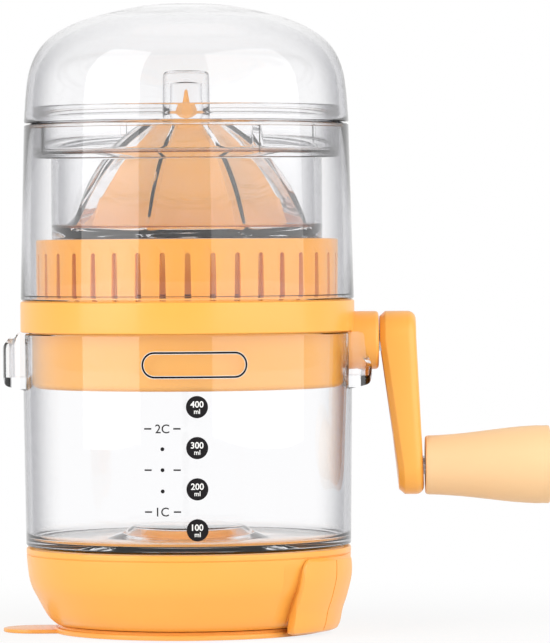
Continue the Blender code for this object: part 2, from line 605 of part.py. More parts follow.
# ---------------------------------------------------------------- crank and gears
shaft_tip_r = 2.2 * MM
pinion_back = 13.0 * MM
shaft_end = ARM_OUT - 3.4 * MM
crank_shaft = revolve(
    "crank_shaft",
    [(0, shaft_end), (SHAFT_R - 0.4 * MM, shaft_end), (SHAFT_R, shaft_end - 0.4 * MM), (SHAFT_R, pinion_back + 0.3 * MM),
     (shaft_tip_r, pinion_back + 0.3 * MM), (shaft_tip_r, 5.6 * MM), (0, 5.6 * MM)],
    MEDIUM, at=(0, 0, AXIS_Z), turn=ALONG_X, mat=steel,
)
cut(crank_shaft, drum("cut_shaft_thread", 1.6 * MM, shaft_end - 9 * MM, shaft_end + MM, at=(0, 0, AXIS_Z), turn=ALONG_X))


def gear_outline(teeth, tip, root):
    """A straight-flanked gear seen along its axis, on its large end."""
    pitch_r = MODULE * teeth / 2
    points = []
    for i in range(teeth):
        mid = 2 * pi * (i + 0.5) / teeth
        half = TOOTH_FILL * pi / teeth
        out = half - tip * tan(FLANK) * 0.6 / pitch_r
        low = half + root * tan(FLANK) * 0.6 / pitch_r
        points += [polar(pitch_r - root, mid - low), polar(pitch_r + tip, mid - out), polar(pitch_r + tip, mid + out), polar(pitch_r - root, mid + low)]
    return points


def bevel(name, teeth, mate, tip, root, hub_r, hub_end, **how):
    """A bevel gear whose axis is Z and whose apex is the origin, with a hub behind its large end."""
    outline = gear_outline(teeth, tip, root)
    height = MODULE * mate / 2
    body_r = MODULE * teeth / 2 - root - 0.4 * MM
    rings = [[(x * INNER_SCALE, y * INNER_SCALE, height * INNER_SCALE) for x, y in outline], [(x, y, height) for x, y in outline]]
    gear = loft(name, rings, smooth=False, **how)
    place = {key: how[key] for key in ("at", "turn") if key in how}
    cut(gear, drum(f"cut_{name}_hub", min(hub_r, body_r), height - 0.4 * MM, hub_end, MEDIUM, **place), how="UNION")
    return gear


pinion = bevel("bevel_pinion", PINION_TEETH, GEAR_TEETH, PINION_TIP, PINION_ROOT, 4.4 * MM, pinion_back, at=(0, 0, AXIS_Z), turn=ALONG_X, mat=nylon)
cut(pinion, drum("cut_pinion_bore", shaft_tip_r + PRESS, 4 * MM, pinion_back + MM, MEDIUM, at=(0, 0, AXIS_Z), turn=ALONG_X))
gear_back = 9.4 * MM
gear_turn = (0, 0, pi / GEAR_TEETH)
gear = bevel("bevel_gear", GEAR_TEETH, PINION_TEETH, GEAR_TIP, GEAR_ROOT, 6.0 * MM, gear_back, at=(0, 0, AXIS_Z), turn=gear_turn, mat=nylon)
cut(gear, drum("cut_gear_bore", SHAFT_R + PRESS, 3 * MM, gear_back + MM, MEDIUM, at=(0, 0, AXIS_Z), turn=gear_turn))

spindle_top = REAMER_Z + 14.0 * MM
spindle = revolve(
    "spindle",
    [(0, spindle_top), (2.6 * MM, spindle_top), (3.0 * MM, spindle_top - 0.4 * MM), (3.0 * MM, TURRET_TOP + 3.6 * MM), (5.0 * MM, TURRET_TOP + 1.7 * MM),
     (5.0 * MM, TURRET_TOP + 0.2 * MM), (SHAFT_R, TURRET_TOP + 0.2 * MM), (SHAFT_R, AXIS_Z + 4.3 * MM), (0, AXIS_Z + 4.3 * MM)],
    MEDIUM, mat=steel,
)
cut(spindle, block("cut_spindle_flat", (-5 * MM, 2.0 * MM, TURRET_TOP + 3.8 * MM), (5 * MM, 5 * MM, spindle_top + MM)))
tube("spindle_circlip", SHAFT_R + PRESS, 5.6 * MM, gear_back + AXIS_Z + 0.3 * MM, gear_back + AXIS_Z + 1.1 * MM, mat=steel)

ARC = 10
arm_plan = [(HUB_R * cos(pi * i / ARC), AXIS_Z + HUB_R * sin(pi * i / ARC)) for i in range(ARC + 1)]
arm_plan += [(-HUB_R * cos(pi * i / ARC), GRIP_Z - HUB_R * sin(pi * i / ARC)) for i in range(ARC + 1)]
EDGE = 1.6 * MM


def lean(z):
    return ARM_LEAN * (AXIS_Z - z) / CRANK_THROW


def shrunk(plan, inset):
    """The arm's outline drawn in by inset."""
    scale = (HUB_R - inset) / HUB_R
    return [(y * scale, (AXIS_Z if z > (AXIS_Z + GRIP_Z) / 2 else GRIP_Z) + (z - (AXIS_Z if z > (AXIS_Z + GRIP_Z) / 2 else GRIP_Z)) * scale) for y, z in plan]


arm_rings = [
    [(x + lean(z), y, z) for y, z in shrunk(arm_plan, inset)]
    for x, inset in (
        (ARM_OUT - ARM_BLADE, 2.6 * MM), (ARM_OUT - ARM_BLADE + 2.2 * MM, 0.3 * MM), (ARM_OUT - ARM_BLADE + 2.6 * MM, 0.0),
        (ARM_OUT - EDGE, 0.0), (ARM_OUT - EDGE * 0.3, EDGE * 0.35), (ARM_OUT, EDGE),
    )
]
crank_arm = loft("crank_arm", arm_rings, mat=orange)
cut(crank_arm, drum("cut_arm_hub", HUB_R - 0.1 * MM, ARM_X, ARM_OUT - ARM_BLADE + 2.4 * MM, MEDIUM, at=(0, 0, AXIS_Z), turn=ALONG_X), how="UNION")
cut(
    crank_arm,
    revolve(
        "cut_arm_bore",
        [(0, ARM_OUT + MM), (3.4 * MM, ARM_OUT + MM), (3.4 * MM, ARM_OUT - 2.2 * MM), (1.8 * MM, ARM_OUT - 2.2 * MM), (1.8 * MM, shaft_end + 0.2 * MM),
         (SHAFT_R + PRESS, shaft_end + 0.2 * MM), (SHAFT_R + PRESS, ARM_X - MM), (0, ARM_X - MM)],
        MEDIUM, at=(0, 0, AXIS_Z), turn=ALONG_X,
    ),
    drum("cut_arm_axle", AXLE_R + PRESS, ARM_OUT - ARM_BLADE + 3.0 * MM, ARM_OUT + 4 * MM, MEDIUM, at=(0, 0, GRIP_Z), turn=ALONG_X),
)
revolve(
    "crank_screw",
    [(0, ARM_OUT - 0.5 * MM), (2.6 * MM, ARM_OUT - 0.6 * MM), (3.0 * MM, ARM_OUT - 1.2 * MM), (3.0 * MM, ARM_OUT - 2.1 * MM), (1.4 * MM, ARM_OUT - 2.1 * MM),
     (1.4 * MM, shaft_end - 7.6 * MM), (0, shaft_end - 8.2 * MM)],
    SMALL, at=(0, 0, AXIS_Z), turn=ALONG_X, mat=steel,
)
axle_end = GRIP_X + GRIP_L - 6.0 * MM
drum("grip_axle", AXLE_R, ARM_OUT - ARM_BLADE + 3.2 * MM, axle_end, MEDIUM, at=(0, 0, GRIP_Z), turn=ALONG_X, mat=steel)
GRIP = (  # share of the grip's length, share of the way from its thin end's radius to its thick end's
    (1.0, 0.70), (0.985, 0.86), (0.94, 0.97), (0.88, 1.0), (0.70, 0.83), (0.50, 0.52), (0.30, 0.22), (0.12, 0.04), (0.02, 0.0), (0.0, -0.10),
)
revolve(
    "crank_grip",
    [(0, GRIP_X + GRIP_L)]
    + [(GRIP_R0 + (GRIP_R1 - GRIP_R0) * swell, GRIP_X + GRIP_L * along) for along, swell in GRIP]
    + [(AXLE_R + RUN, GRIP_X), (AXLE_R + RUN, axle_end + 0.4 * MM), (0, axle_end + 0.4 * MM)],
    MEDIUM, at=(0, 0, GRIP_Z), turn=ALONG_X, mat=cream,
)


# ---------------------------------------------------------------- strainer and reamer
collar_r = GEARBOX_R + WALL + 0.6 * MM
strainer = revolve(
    "strainer_basket",
    [(collar_r, TURRET_TOP + 1.4 * MM), (collar_r + 1.6 * MM, TURRET_TOP + 1.4 * MM), (collar_r + 1.8 * MM, STRAINER_Z + 1.6 * MM),
     (STRAINER_R - WALL - 1.2 * MM, STRAINER_Z + 1.6 * MM), (STRAINER_R - WALL, STRAINER_Z + 2.8 * MM), (STRAINER_R - WALL, STRAINER_TOP),
     (STRAINER_R - 0.4 * MM, STRAINER_TOP), (STRAINER_R, STRAINER_TOP - 0.4 * MM), (STRAINER_R, STRAINER_Z + 1.0 * MM), (STRAINER_R - 1.0 * MM, STRAINER_Z),
     (collar_r, STRAINER_Z)],
    SLOTS, mat=orange_food,
)
slot_points, slot_faces = [], []
for i in range(SLOTS):
    turn = Matrix.Rotation(2 * pi * (i + SLOT_PHASE) / SLOTS, 4, "Z")
    first = len(slot_points)
    for x in (STRAINER_R - 2 * WALL, STRAINER_R + 2 * MM):
        for y, z in ((-SLOT_W / 2, SLOT_BOTTOM), (SLOT_W / 2, SLOT_BOTTOM), (SLOT_W / 2, SLOT_TOP - SLOT_W / 2), (0, SLOT_TOP), (-SLOT_W / 2, SLOT_TOP - SLOT_W / 2)):
            slot_points.append(turn @ Vector((x, y, z)))
    slot_faces += [tuple(first + k for k in range(5)), tuple(first + 5 + k for k in range(5))]
    slot_faces += [(first + k, first + (k + 1) % 5, first + 5 + (k + 1) % 5, first + 5 + k) for k in range(5)]
cut(strainer, faced("cut_strainer_slots", slot_points, slot_faces, smooth=False))

REAMER = (  # share of the base's radius, height over the base, flute depth
    (0.0, 64.6, 0.0), (0.014, 64.2, 0.0), (0.062, 58.0, 0.05), (0.246, 48.3, 0.14), (0.366, 45.8, 0.16), (0.503, 42.6, 0.17), (0.66, 38.0, 0.17),
    (0.823, 28.8, 0.16), (0.868, 26.9, 0.15), (0.914, 17.0, 0.13), (0.97, 4.0, 0.10), (1.0, 0.0, 0.08),
    (0.90, 0.0, 0.0), (0.80, 17.0, 0.0), (0.68, 28.0, 0.0), (0.47, 37.0, 0.0), (0.25, 41.0, 0.0), (0.225, 38.0, 0.0), (0.215, 3.0, 0.0),
    (0.0, 3.0, 0.0),
)
reamer = fluted("reamer", [(r * REAMER_R, REAMER_Z + z * MM, depth) for r, z, depth in REAMER], 5 * RIDGES, mat=orange_food)
socket = drum("cut_reamer_socket", 3.0 * MM + PRESS, REAMER_Z, spindle_top + 0.4 * MM, MEDIUM)
cut(socket, block("cut_socket_flat", (-5 * MM, 2.0 * MM + PRESS, REAMER_Z - MM), (5 * MM, 5 * MM, spindle_top + MM)))
cut(reamer, socket)


# ---------------------------------------------------------------- sleeve, press cup and lid
sleeve_low_r = BODY_R + 0.5 * MM
sleeve_top_r = BODY_R - 0.9 * MM
revolve(
    "cover_sleeve",
    [(sleeve_top_r - 1.0 * MM, SLEEVE_TOP), (sleeve_top_r - 0.3 * MM, SLEEVE_TOP), (sleeve_top_r, SLEEVE_TOP - 0.4 * MM), (sleeve_low_r, SLEEVE_Z + 0.5 * MM),
     (sleeve_low_r - 0.4 * MM, SLEEVE_Z), (SPIGOT_R + GAP, SLEEVE_Z), (SPIGOT_R + GAP, SPIGOT_TOP + 0.5 * MM), (SPIGOT_R - 0.2 * MM, SPIGOT_TOP + 0.5 * MM),
     (sleeve_top_r - CLEAR_WALL, FLANGE_Z - GAP), (sleeve_top_r - 1.0 * MM, FLANGE_Z - GAP)],
    ROUND, mat=clear,
)
step_z = FLANGE_Z - 10.5 * MM
# the press dome: share of the press cup's radius, height over its rim, flute depth
DOME_OUT = ((0.315, 33.1, 0.10), (0.50, 28.3, 0.12), (0.65, 22.6, 0.13), (0.785, 15.2, 0.12), (0.87, 8.0, 0.08), (0.905, 3.2, 0.0))
DOME_IN = ((0.93, 0.0, 0.0), (0.86, 2.4, 0.05), (0.805, 8.0, 0.08), (0.725, 14.4, 0.10), (0.60, 21.0, 0.09), (0.45, 26.4, 0.12), (0.26, 31.0, 0.08),
           (0.165, 35.6, 0.0), (0.125, 40.0, 0.0), (0.115, 49.6, 0.0), (0.0, 50.6, 0.0))
knob_r = 7.35 * MM
press_profile = (
    [(0.0, PRESS_Z + 53.3 * MM, 0.0), (knob_r - 1.2 * MM, PRESS_Z + 53.3 * MM, 0.0), (knob_r, PRESS_Z + 52.1 * MM, 0.0), (knob_r + 0.2 * MM, PRESS_Z + 37.4 * MM, 0.0)]
    + [(r * PRESS_R, PRESS_Z + z * MM, depth) for r, z, depth in DOME_OUT]
    + [(PRESS_R - CLEAR_WALL, PRESS_Z + 3.0 * MM, 0.0), (PRESS_R - CLEAR_WALL, step_z + CLEAR_WALL, 0.0), (PRESS_SKIRT_R - 1.6 * MM, step_z + CLEAR_WALL, 0.0),
       (PRESS_SKIRT_R - 1.6 * MM, FLANGE_Z + 6.6 * MM, 0.0), (PRESS_SKIRT_R, FLANGE_Z + 6.6 * MM, 0.0), (PRESS_SKIRT_R, FLANGE_Z + FLANGE_T, 0.0),
       (PRESS_SKIRT_R + 1.4 * MM, FLANGE_Z + FLANGE_T, 0.0), (PRESS_SKIRT_R + 1.4 * MM, FLANGE_Z, 0.0), (PRESS_SKIRT_R, FLANGE_Z, 0.0),
       (PRESS_SKIRT_R, step_z + 0.5 * MM, 0.0), (PRESS_SKIRT_R - 0.5 * MM, step_z, 0.0), (PRESS_R, step_z, 0.0), (PRESS_R, PRESS_LOW + 0.5 * MM, 0.0),
       (PRESS_R - 0.5 * MM, PRESS_LOW, 0.0), (PRESS_R - CLEAR_WALL, PRESS_LOW, 0.0), (PRESS_R - CLEAR_WALL, PRESS_Z - 0.3 * MM, 0.0)]
    + [(r * PRESS_R, PRESS_Z + z * MM, depth) for r, z, depth in DOME_IN]
)
fluted("press_cup", press_profile, 5 * RIDGES, mat=clear)

LID = (  # outer side of the lid: share of its radius, share of its height
    (0.0, 1.0), (0.14, 0.992), (0.30, 0.972), (0.53, 0.905), (0.66, 0.85), (0.77, 0.78), (0.86, 0.69), (0.925, 0.575), (0.965, 0.44), (0.985, 0.28), (1.0, 0.02),
)
lid_r = BODY_R - 0.9 * MM
lid_in_r = lid_r - CLEAR_WALL
revolve(
    "dome_lid",
    [(r * lid_r, LID_Z + h * LID_H) for r, h in LID]
    + [(lid_r - 0.4 * MM, LID_Z), (lid_in_r, LID_Z)]
    + [(r * lid_in_r, LID_Z + h * (LID_H - CLEAR_WALL)) for r, h in reversed(LID[:-1])],
    ROUND, mat=clear,
)
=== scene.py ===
"""Visual model of a hand-crank citrus juicer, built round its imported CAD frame.

A suction base carries a clear measuring cup. The cup carries a geared housing with a side crank, a slotted
strainer and a fluted reamer, under a clear sleeve, a clear press cup and a domed lid. Sizes in tables and
fields are millimetres, and every place is taken from the boxes of the CAD nodes.
"""

import json
import logging
import math
from collections.abc import Sequence
from dataclasses import dataclass
from enum import Enum

import bmesh
import bpy
from mathutils import Matrix, Vector


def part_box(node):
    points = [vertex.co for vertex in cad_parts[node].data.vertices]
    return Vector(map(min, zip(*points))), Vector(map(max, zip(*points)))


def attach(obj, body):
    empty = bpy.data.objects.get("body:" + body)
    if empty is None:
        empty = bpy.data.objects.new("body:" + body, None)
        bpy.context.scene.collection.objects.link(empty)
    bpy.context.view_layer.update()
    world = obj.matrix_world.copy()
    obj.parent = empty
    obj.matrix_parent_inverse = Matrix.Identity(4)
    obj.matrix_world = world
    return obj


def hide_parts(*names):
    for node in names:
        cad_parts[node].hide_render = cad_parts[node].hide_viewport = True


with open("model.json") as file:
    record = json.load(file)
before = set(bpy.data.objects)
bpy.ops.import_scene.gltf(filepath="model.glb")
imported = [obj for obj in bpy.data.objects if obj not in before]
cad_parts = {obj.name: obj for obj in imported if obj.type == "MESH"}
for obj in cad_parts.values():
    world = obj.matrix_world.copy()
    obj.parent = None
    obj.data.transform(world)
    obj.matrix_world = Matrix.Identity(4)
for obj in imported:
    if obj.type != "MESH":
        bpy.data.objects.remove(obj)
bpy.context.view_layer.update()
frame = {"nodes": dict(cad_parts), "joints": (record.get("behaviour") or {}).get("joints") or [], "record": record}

LOG = logging.getLogger("juicer")
MM = 0.001
ROUND = 144  # steps round a large turned piece
FINE = 72  # steps round a small one
GAP = 0.3
WALL = 2.0
CLEAR_WALL = 2.2
RIDGES = 8
RIDGE_PHASE = math.radians(-17.0)

Point = tuple[float, float]
Corner = tuple[float, float, float]
Colour = tuple[float, float, float, float]


class Axis(Enum):
    """The line that a turned piece is turned about."""

    UP = "up"
    ALONG_X = "along_x"


class Plane(Enum):
    """The plane that an outline is drawn in."""

    XY = "xy"
    YZ = "yz"
    XZ = "xz"


class Cut(Enum):
    """What a tool does to the piece it meets."""

    AWAY = "DIFFERENCE"
    ONTO = "UNION"
    WITHIN = "INTERSECT"


# ---------------------------------------------------------------- outlines
def flowing(points: Sequence[Point], per: int = 5) -> list[Point]:
    """A smooth line through a few points.

    Args:
        points: the points to pass through, at least two.
        per: steps between one point and the next.

    Returns:
        The points of the smooth line, ends included.
    """
    path = [points[0], *points, points[-1]]
    made: list[Point] = []
    for a, b, c, d in zip(path, path[1:], path[2:], path[3:], strict=False):
        for i in range(per):
            t = i / per
            made.append(
                tuple(
                    0.5
                    * (
                        2 * b[k]
                        + (c[k] - a[k]) * t
                        + (2 * a[k] - 5 * b[k] + 4 * c[k] - d[k]) * t * t
                        + (3 * b[k] - a[k] - 3 * c[k] + d[k]) * t**3
                    )
                    for k in range(2)
                )
            )
    made.append(points[-1])
    return made


def softened(corners: Sequence[Corner], arc: int = 4) -> list[Point]:
    """A closed outline whose corners are rounded.

    Args:
        corners: (u, v, radius) for each corner; a radius of 0 keeps it sharp.
        arc: steps in each round.

    Returns:
        The outline's points.
    """
    made: list[Point] = []
    count = len(corners)
    for i, (u, v, radius) in enumerate(corners):
        here = Vector((u, v))
        before = Vector(corners[i - 1][:2]) - here
        after = Vector(corners[(i + 1) % count][:2]) - here
        if radius <= 0 or before.length < 1e-6 or after.length < 1e-6:
            made.append((u, v))
            continue
        half = before.angle(after, math.pi) / 2
        reach = min(radius / math.tan(half) if half > 0.02 else radius, 0.48 * before.length, 0.48 * after.length)
        first, last = here + before.normalized() * reach, here + after.normalized() * reach
        for k in range(arc + 1):
            t = k / arc
            spot = first * (1 - t) ** 2 + here * 2 * t * (1 - t) + last * t * t
            made.append((spot.x, spot.y))
    return made


def stadium(half_y: float, high: float, low: float, arc: int = 16) -> list[Point]:
    """A strip with full-round ends at two heights.

    Args:
        half_y: half the strip's width, and the ends' radius.
        high: height of the upper round's centre.
        low: height of the lower round's centre.
        arc: steps in each end.

    Returns:
        The outline, anticlockwise.
    """
    top = [(half_y * math.cos(math.pi * i / arc), high + half_y * math.sin(math.pi * i / arc)) for i in range(arc + 1)]
    foot = [(-half_y * math.cos(math.pi * i / arc), low - half_y * math.sin(math.pi * i / arc)) for i in range(arc + 1)]
    return top + foot


def polar(radius: float, degrees: float) -> Point:
    """The point at a radius and an angle."""
    return (radius * math.cos(math.radians(degrees)), radius * math.sin(math.radians(degrees)))


# ---------------------------------------------------------------- bench tools
def clear_selection() -> None:
    """Leave object mode with nothing selected."""
    if bpy.context.object is not None and bpy.context.object.mode != "OBJECT":
        bpy.ops.object.mode_set(mode="OBJECT")
    bpy.ops.object.select_all(action="DESELECT")


def pick(obj: bpy.types.Object) -> None:
    """Make this the one selected, active object."""
    clear_selection()
    obj.select_set(True)
    bpy.context.view_layer.objects.active = obj


def loop_of(name: str, spots: Sequence[Vector], fill: str = "NOTHING") -> bpy.types.Object:
    """A closed loop of points, from a circle primitive with that many corners.

    Args:
        name: the object's name.
        spots: the points, in metres.
        fill: NOTHING for a bare loop or NGON for a face.

    Returns:
        The new object, in object mode.
    """
    clear_selection()
    bpy.ops.mesh.primitive_circle_add(vertices=len(spots), radius=0.01, fill_type=fill)
    obj = bpy.context.object
    obj.name = obj.data.name = name
    for vertex, spot in zip(obj.data.vertices, spots, strict=True):
        vertex.co = spot
    return obj


def heal(obj: bpy.types.Object) -> None:
    """Merge doubled points and turn every face outwards."""
    pick(obj)
    bpy.ops.object.mode_set(mode="EDIT")
    bpy.ops.mesh.select_all(action="SELECT")
    bpy.ops.mesh.remove_doubles(threshold=2e-6)
    bpy.ops.mesh.delete_loose()
    bpy.ops.mesh.select_all(action="SELECT")
    bpy.ops.mesh.normals_make_consistent(inside=False)
    bpy.ops.object.mode_set(mode="OBJECT")


def turned(
    name: str,
    profile: Sequence[Point],
    steps: int = ROUND,
    start: float = 0.0,
    sweep: float = 360.0,
    axis: Axis = Axis.UP,
    height: float = 0.0,
) -> bpy.types.Object:
    """A body spun from its half section.

    Args:
        name: the object's name.
        profile: (radius, distance along the axis) round the section, in millimetres.
        steps: steps in the spin.
        start: angle of the first section, in degrees.
        sweep: angle of the spin, in degrees.
        axis: what it is turned about.
        height: the axis's height, where it lies along X, in millimetres.

    Returns:
        The closed body.
    """
    spots = [Vector((*polar(r * MM, start), z * MM)) for r, z in profile]
    obj = loop_of(name, spots)
    pick(obj)
    bpy.ops.object.mode_set(mode="EDIT")
    work = bmesh.from_edit_mesh(obj.data)
    on_axis = [e for e in work.edges if all(v.co.xy.length < 1e-9 for v in e.verts)]
    bmesh.ops.delete(work, geom=on_axis, context="EDGES")
    bmesh.update_edit_mesh(obj.data)
    bpy.ops.mesh.select_all(action="SELECT")
    bpy.ops.mesh.spin(steps=steps, angle=-math.radians(sweep), center=(0, 0, 0), axis=(0, 0, 1))
    if sweep < 360:
        bpy.ops.mesh.select_all(action="SELECT")
        bpy.ops.mesh.fill_holes(sides=0)
    bpy.ops.object.mode_set(mode="OBJECT")
    heal(obj)
    if axis is Axis.ALONG_X:
        obj.data.transform(Matrix.Translation((0, 0, height * MM)) @ Matrix.Rotation(math.pi / 2, 4, "Y"))
    return obj


def slab(name: str, outline: Sequence[Point], low: float, high: float, plane: Plane = Plane.XY, turn: float = 0.0) -> bpy.types.Object:
    """An outline extruded across its plane, in millimetres.

    Args:
        name: the object's name.
        outline: the outline's points.
        low: where the body starts.
        high: where the body ends.
        plane: the plane of the outline.
        turn: how far the body is then turned about the upright axis, in degrees.

    Returns:
        The closed body.
    """
    place = {
        Plane.XY: lambda u, v, w: Vector((u, v, w)),
        Plane.YZ: lambda u, v, w: Vector((w, u, v)),
        Plane.XZ: lambda u, v, w: Vector((u, w, v)),
    }[plane]
    obj = loop_of(name, [place(u, v, low) * MM for u, v in outline], fill="NGON")
    pick(obj)
    bpy.ops.object.mode_set(mode="EDIT")
    bpy.ops.mesh.select_all(action="SELECT")
    bpy.ops.mesh.extrude_region_move(TRANSFORM_OT_translate={"value": place(0, 0, high - low) * MM})
    bpy.ops.object.mode_set(mode="OBJECT")
    heal(obj)
    if turn:
        obj.data.transform(Matrix.Rotation(math.radians(turn), 4, "Z"))
    return obj


def brick(name: str, low: Sequence[float], high: Sequence[float], turn: float = 0.0) -> bpy.types.Object:
    """A square-cornered cutting tool between two corners, in millimetres."""
    (x0, y0, z0), (x1, y1, z1) = low, high
    return slab(name, [(x0, y0), (x1, y0), (x1, y1), (x0, y1)], z0, z1, turn=turn)


def joined(name: str, parts: Sequence[bpy.types.Object]) -> bpy.types.Object:
    """Several objects made one."""
    clear_selection()
    for part in parts:
        part.select_set(True)
    bpy.context.view_layer.objects.active = parts[0]
    if len(parts) > 1:
        bpy.ops.object.join()
    obj = bpy.context.object
    obj.name = obj.data.name = name
    return obj


def carve(obj: bpy.types.Object, *tools: bpy.types.Object, how: Cut = Cut.AWAY) -> bpy.types.Object:
    """Cut a piece with tools, add them to it, or keep what lies within them. The tools are used up."""
    for tool in tools:
        pick(obj)
        knife = obj.modifiers.new("carve", "BOOLEAN")
        knife.operation = how.value
        knife.solver = "EXACT"
        knife.object = tool
        bpy.ops.object.modifier_apply(modifier=knife.name)
        bpy.data.objects.remove(tool, do_unlink=True)
    return obj


def ease(obj: bpy.types.Object, width: float, segments: int = 2, angle: float = 40.0) -> bpy.types.Object:
    """Round the edges sharper than an angle, in millimetres and degrees."""
    pick(obj)
    soft = obj.modifiers.new("ease", "BEVEL")
    soft.width = width * MM
    soft.segments = segments
    soft.limit_method = "ANGLE"
    soft.angle_limit = math.radians(angle)
    bpy.ops.object.modifier_apply(modifier=soft.name)
    return obj


def stacked(name: str, rings: Sequence[Sequence[Sequence[float]]]) -> bpy.types.Object:
    """A closed body through rings of equally many points, in millimetres."""
    mesh = bpy.data.meshes.new(name)
    work = bmesh.new()
    rows = [[work.verts.new(Vector(p) * MM) for p in ring] for ring in rings]
    count = len(rows[0])
    for low, high in zip(rows, rows[1:], strict=False):
        for i in range(count):
            j = (i + 1) % count
            work.faces.new((low[i], low[j], high[j], high[i]))
    work.faces.new(rows[0])
    work.faces.new(rows[-1])
    bmesh.ops.recalc_face_normals(work, faces=work.faces)
    work.to_mesh(mesh)
    work.free()
    obj = bpy.data.objects.new(name, mesh)
    bpy.context.scene.collection.objects.link(obj)
    return obj


def fluted(name: str, profile: Sequence[Corner], steps: int = 3 * FINE) -> bpy.types.Object:
    """A turned body whose sides fall back between its ridges.

    Args:
        name: the object's name.
        profile: (radius at a ridge, height, share of the radius that a valley lies in), round the section.
        steps: steps round the body.

    Returns:
        The closed body.
    """
    obj = turned(name, [(r, z) for r, z, _ in profile], steps, start=math.degrees(RIDGE_PHASE))
    marks = [(r * MM, z * MM, depth) for r, z, depth in profile]
    for vertex in obj.data.vertices:
        r, z = vertex.co.xy.length, vertex.co.z
        if r < 1e-6:
            continue
        depth = min(marks, key=lambda m: (m[0] - r) ** 2 + (m[1] - z) ** 2)[2]
        if depth > 0:
            fall = abs(math.sin(RIDGES / 2 * (math.atan2(vertex.co.y, vertex.co.x) - RIDGE_PHASE))) ** 0.8
            vertex.co.xy *= 1 - depth * fall
    heal(obj)
    return obj


def flow3(rows: Sequence[Corner], per: int = 4) -> list[Corner]:
    """A smooth line through (radius, height, depth) rows."""
    first = flowing([(r, z) for r, z, _ in rows], per)
    second = flowing([(d, 0.0) for _, _, d in rows], per)
    return [(r, z, max(d, 0.0)) for (r, z), (d, _) in zip(first, second, strict=True)]


# ---------------------------------------------------------------- shader sums
class Value:
    """A socket that carries a number and can be used in sums."""

    def __init__(self, graph: "Graph", socket: bpy.types.NodeSocket) -> None:
        """Wrap a socket of a graph."""
        self.graph = graph
        self.socket = socket

    def _with(self, operation: str, other: "Value | float", swapped: bool = False) -> "Value":
        """One Math node on this and another value."""
        pair = [other, self] if swapped else [self, other]
        return self.graph.value("ShaderNodeMath", {"operation": operation}, {0: pair[0], 1: pair[1]})

    def __add__(self, other: "Value | float") -> "Value":
        """self + other."""
        return self._with("ADD", other)

    def __radd__(self, other: "Value | float") -> "Value":
        """other + self."""
        return self._with("ADD", other, True)

    def __sub__(self, other: "Value | float") -> "Value":
        """self - other."""
        return self._with("SUBTRACT", other)

    def __rsub__(self, other: "Value | float") -> "Value":
        """other - self."""
        return self._with("SUBTRACT", other, True)

    def __mul__(self, other: "Value | float") -> "Value":
        """self * other."""
        return self._with("MULTIPLY", other)

    def __rmul__(self, other: "Value | float") -> "Value":
        """other * self."""
        return self._with("MULTIPLY", other, True)

    def largest(self, other: "Value | float") -> "Value":
        """The larger of the two."""
        return self._with("MAXIMUM", other)


class Graph:
    """The node tree of one material or of the world."""

    def __init__(self, owner: bpy.types.Material | bpy.types.World) -> None:
        """Start an empty tree on its owner."""
        owner.use_nodes = True
        self.tree = owner.node_tree
        self.tree.nodes.clear()

    def node(self, kind: str, settings: dict | None = None, inputs: dict | None = None) -> bpy.types.Node:
        """Add a node.

        Args:
            kind: the node's type.
            settings: its own settings, set first; a list of stops is a ramp's.
            inputs: values, Values or sockets, by the input's name or number.

        Returns:
            The node.
        """
        made = self.tree.nodes.new(kind)
        for key, value in (settings or {}).items():
            if key == "stops":
                while len(made.color_ramp.elements) < len(value):
                    made.color_ramp.elements.new(0.5)
                for element, (at, colour) in zip(made.color_ramp.elements, value, strict=True):
                    element.position, element.color = at, colour
            else:
                setattr(made, key, value)
        for key, value in (inputs or {}).items():
            socket = value.socket if isinstance(value, Value) else value
            if isinstance(socket, bpy.types.NodeSocket):
                self.tree.links.new(socket, made.inputs[key])
            else:
                made.inputs[key].default_value = socket
        return made

    def value(self, kind: str, settings: dict | None = None, inputs: dict | None = None, out: str | int = 0) -> Value:
        """Add a node and take one of its outputs."""
        return Value(self, self.node(kind, settings, inputs).outputs[out])

    def mixed(self, share: Value | float, first: Value | Colour, second: Value | Colour) -> Value:
        """A colour between two others."""
        return self.value("ShaderNodeMix", {"data_type": "RGBA"}, {0: share, 6: first, 7: second}, 2)

    def place(self, scale: Sequence[float] = (1, 1, 1), centre: Sequence[float] = (0, 0, 0)) -> Value:
        """Object coordinates, scaled and centred."""
        spot = self.value("ShaderNodeTexCoord", out="Object")
        return self.value("ShaderNodeMapping", {}, {"Vector": spot, "Scale": scale, "Location": centre})

    def noise(self, scale: float, detail: float = 2.0, where: Value | None = None, roughness: float = 0.5) -> Value:
        """A noise value round 0.5 at so many waves to the metre."""
        return self.value(
            "ShaderNodeTexNoise", {}, {"Vector": where or self.place(), "Scale": scale, "Detail": detail, "Roughness": roughness}, "Fac"
        )

    def bumped(self, height: Value, distance: float, strength: float = 1.0) -> Value:
        """A normal pushed by a height, in metres."""
        return self.value("ShaderNodeBump", {}, {"Height": height, "Distance": distance, "Strength": strength})

    def surface(self, shader: Value, volume: Value | None = None) -> None:
        """Join the shader, and a volume, to the output."""
        inputs = {"Surface": shader}
        if volume is not None:
            inputs["Volume"] = volume
        self.node("ShaderNodeOutputMaterial", {}, inputs)


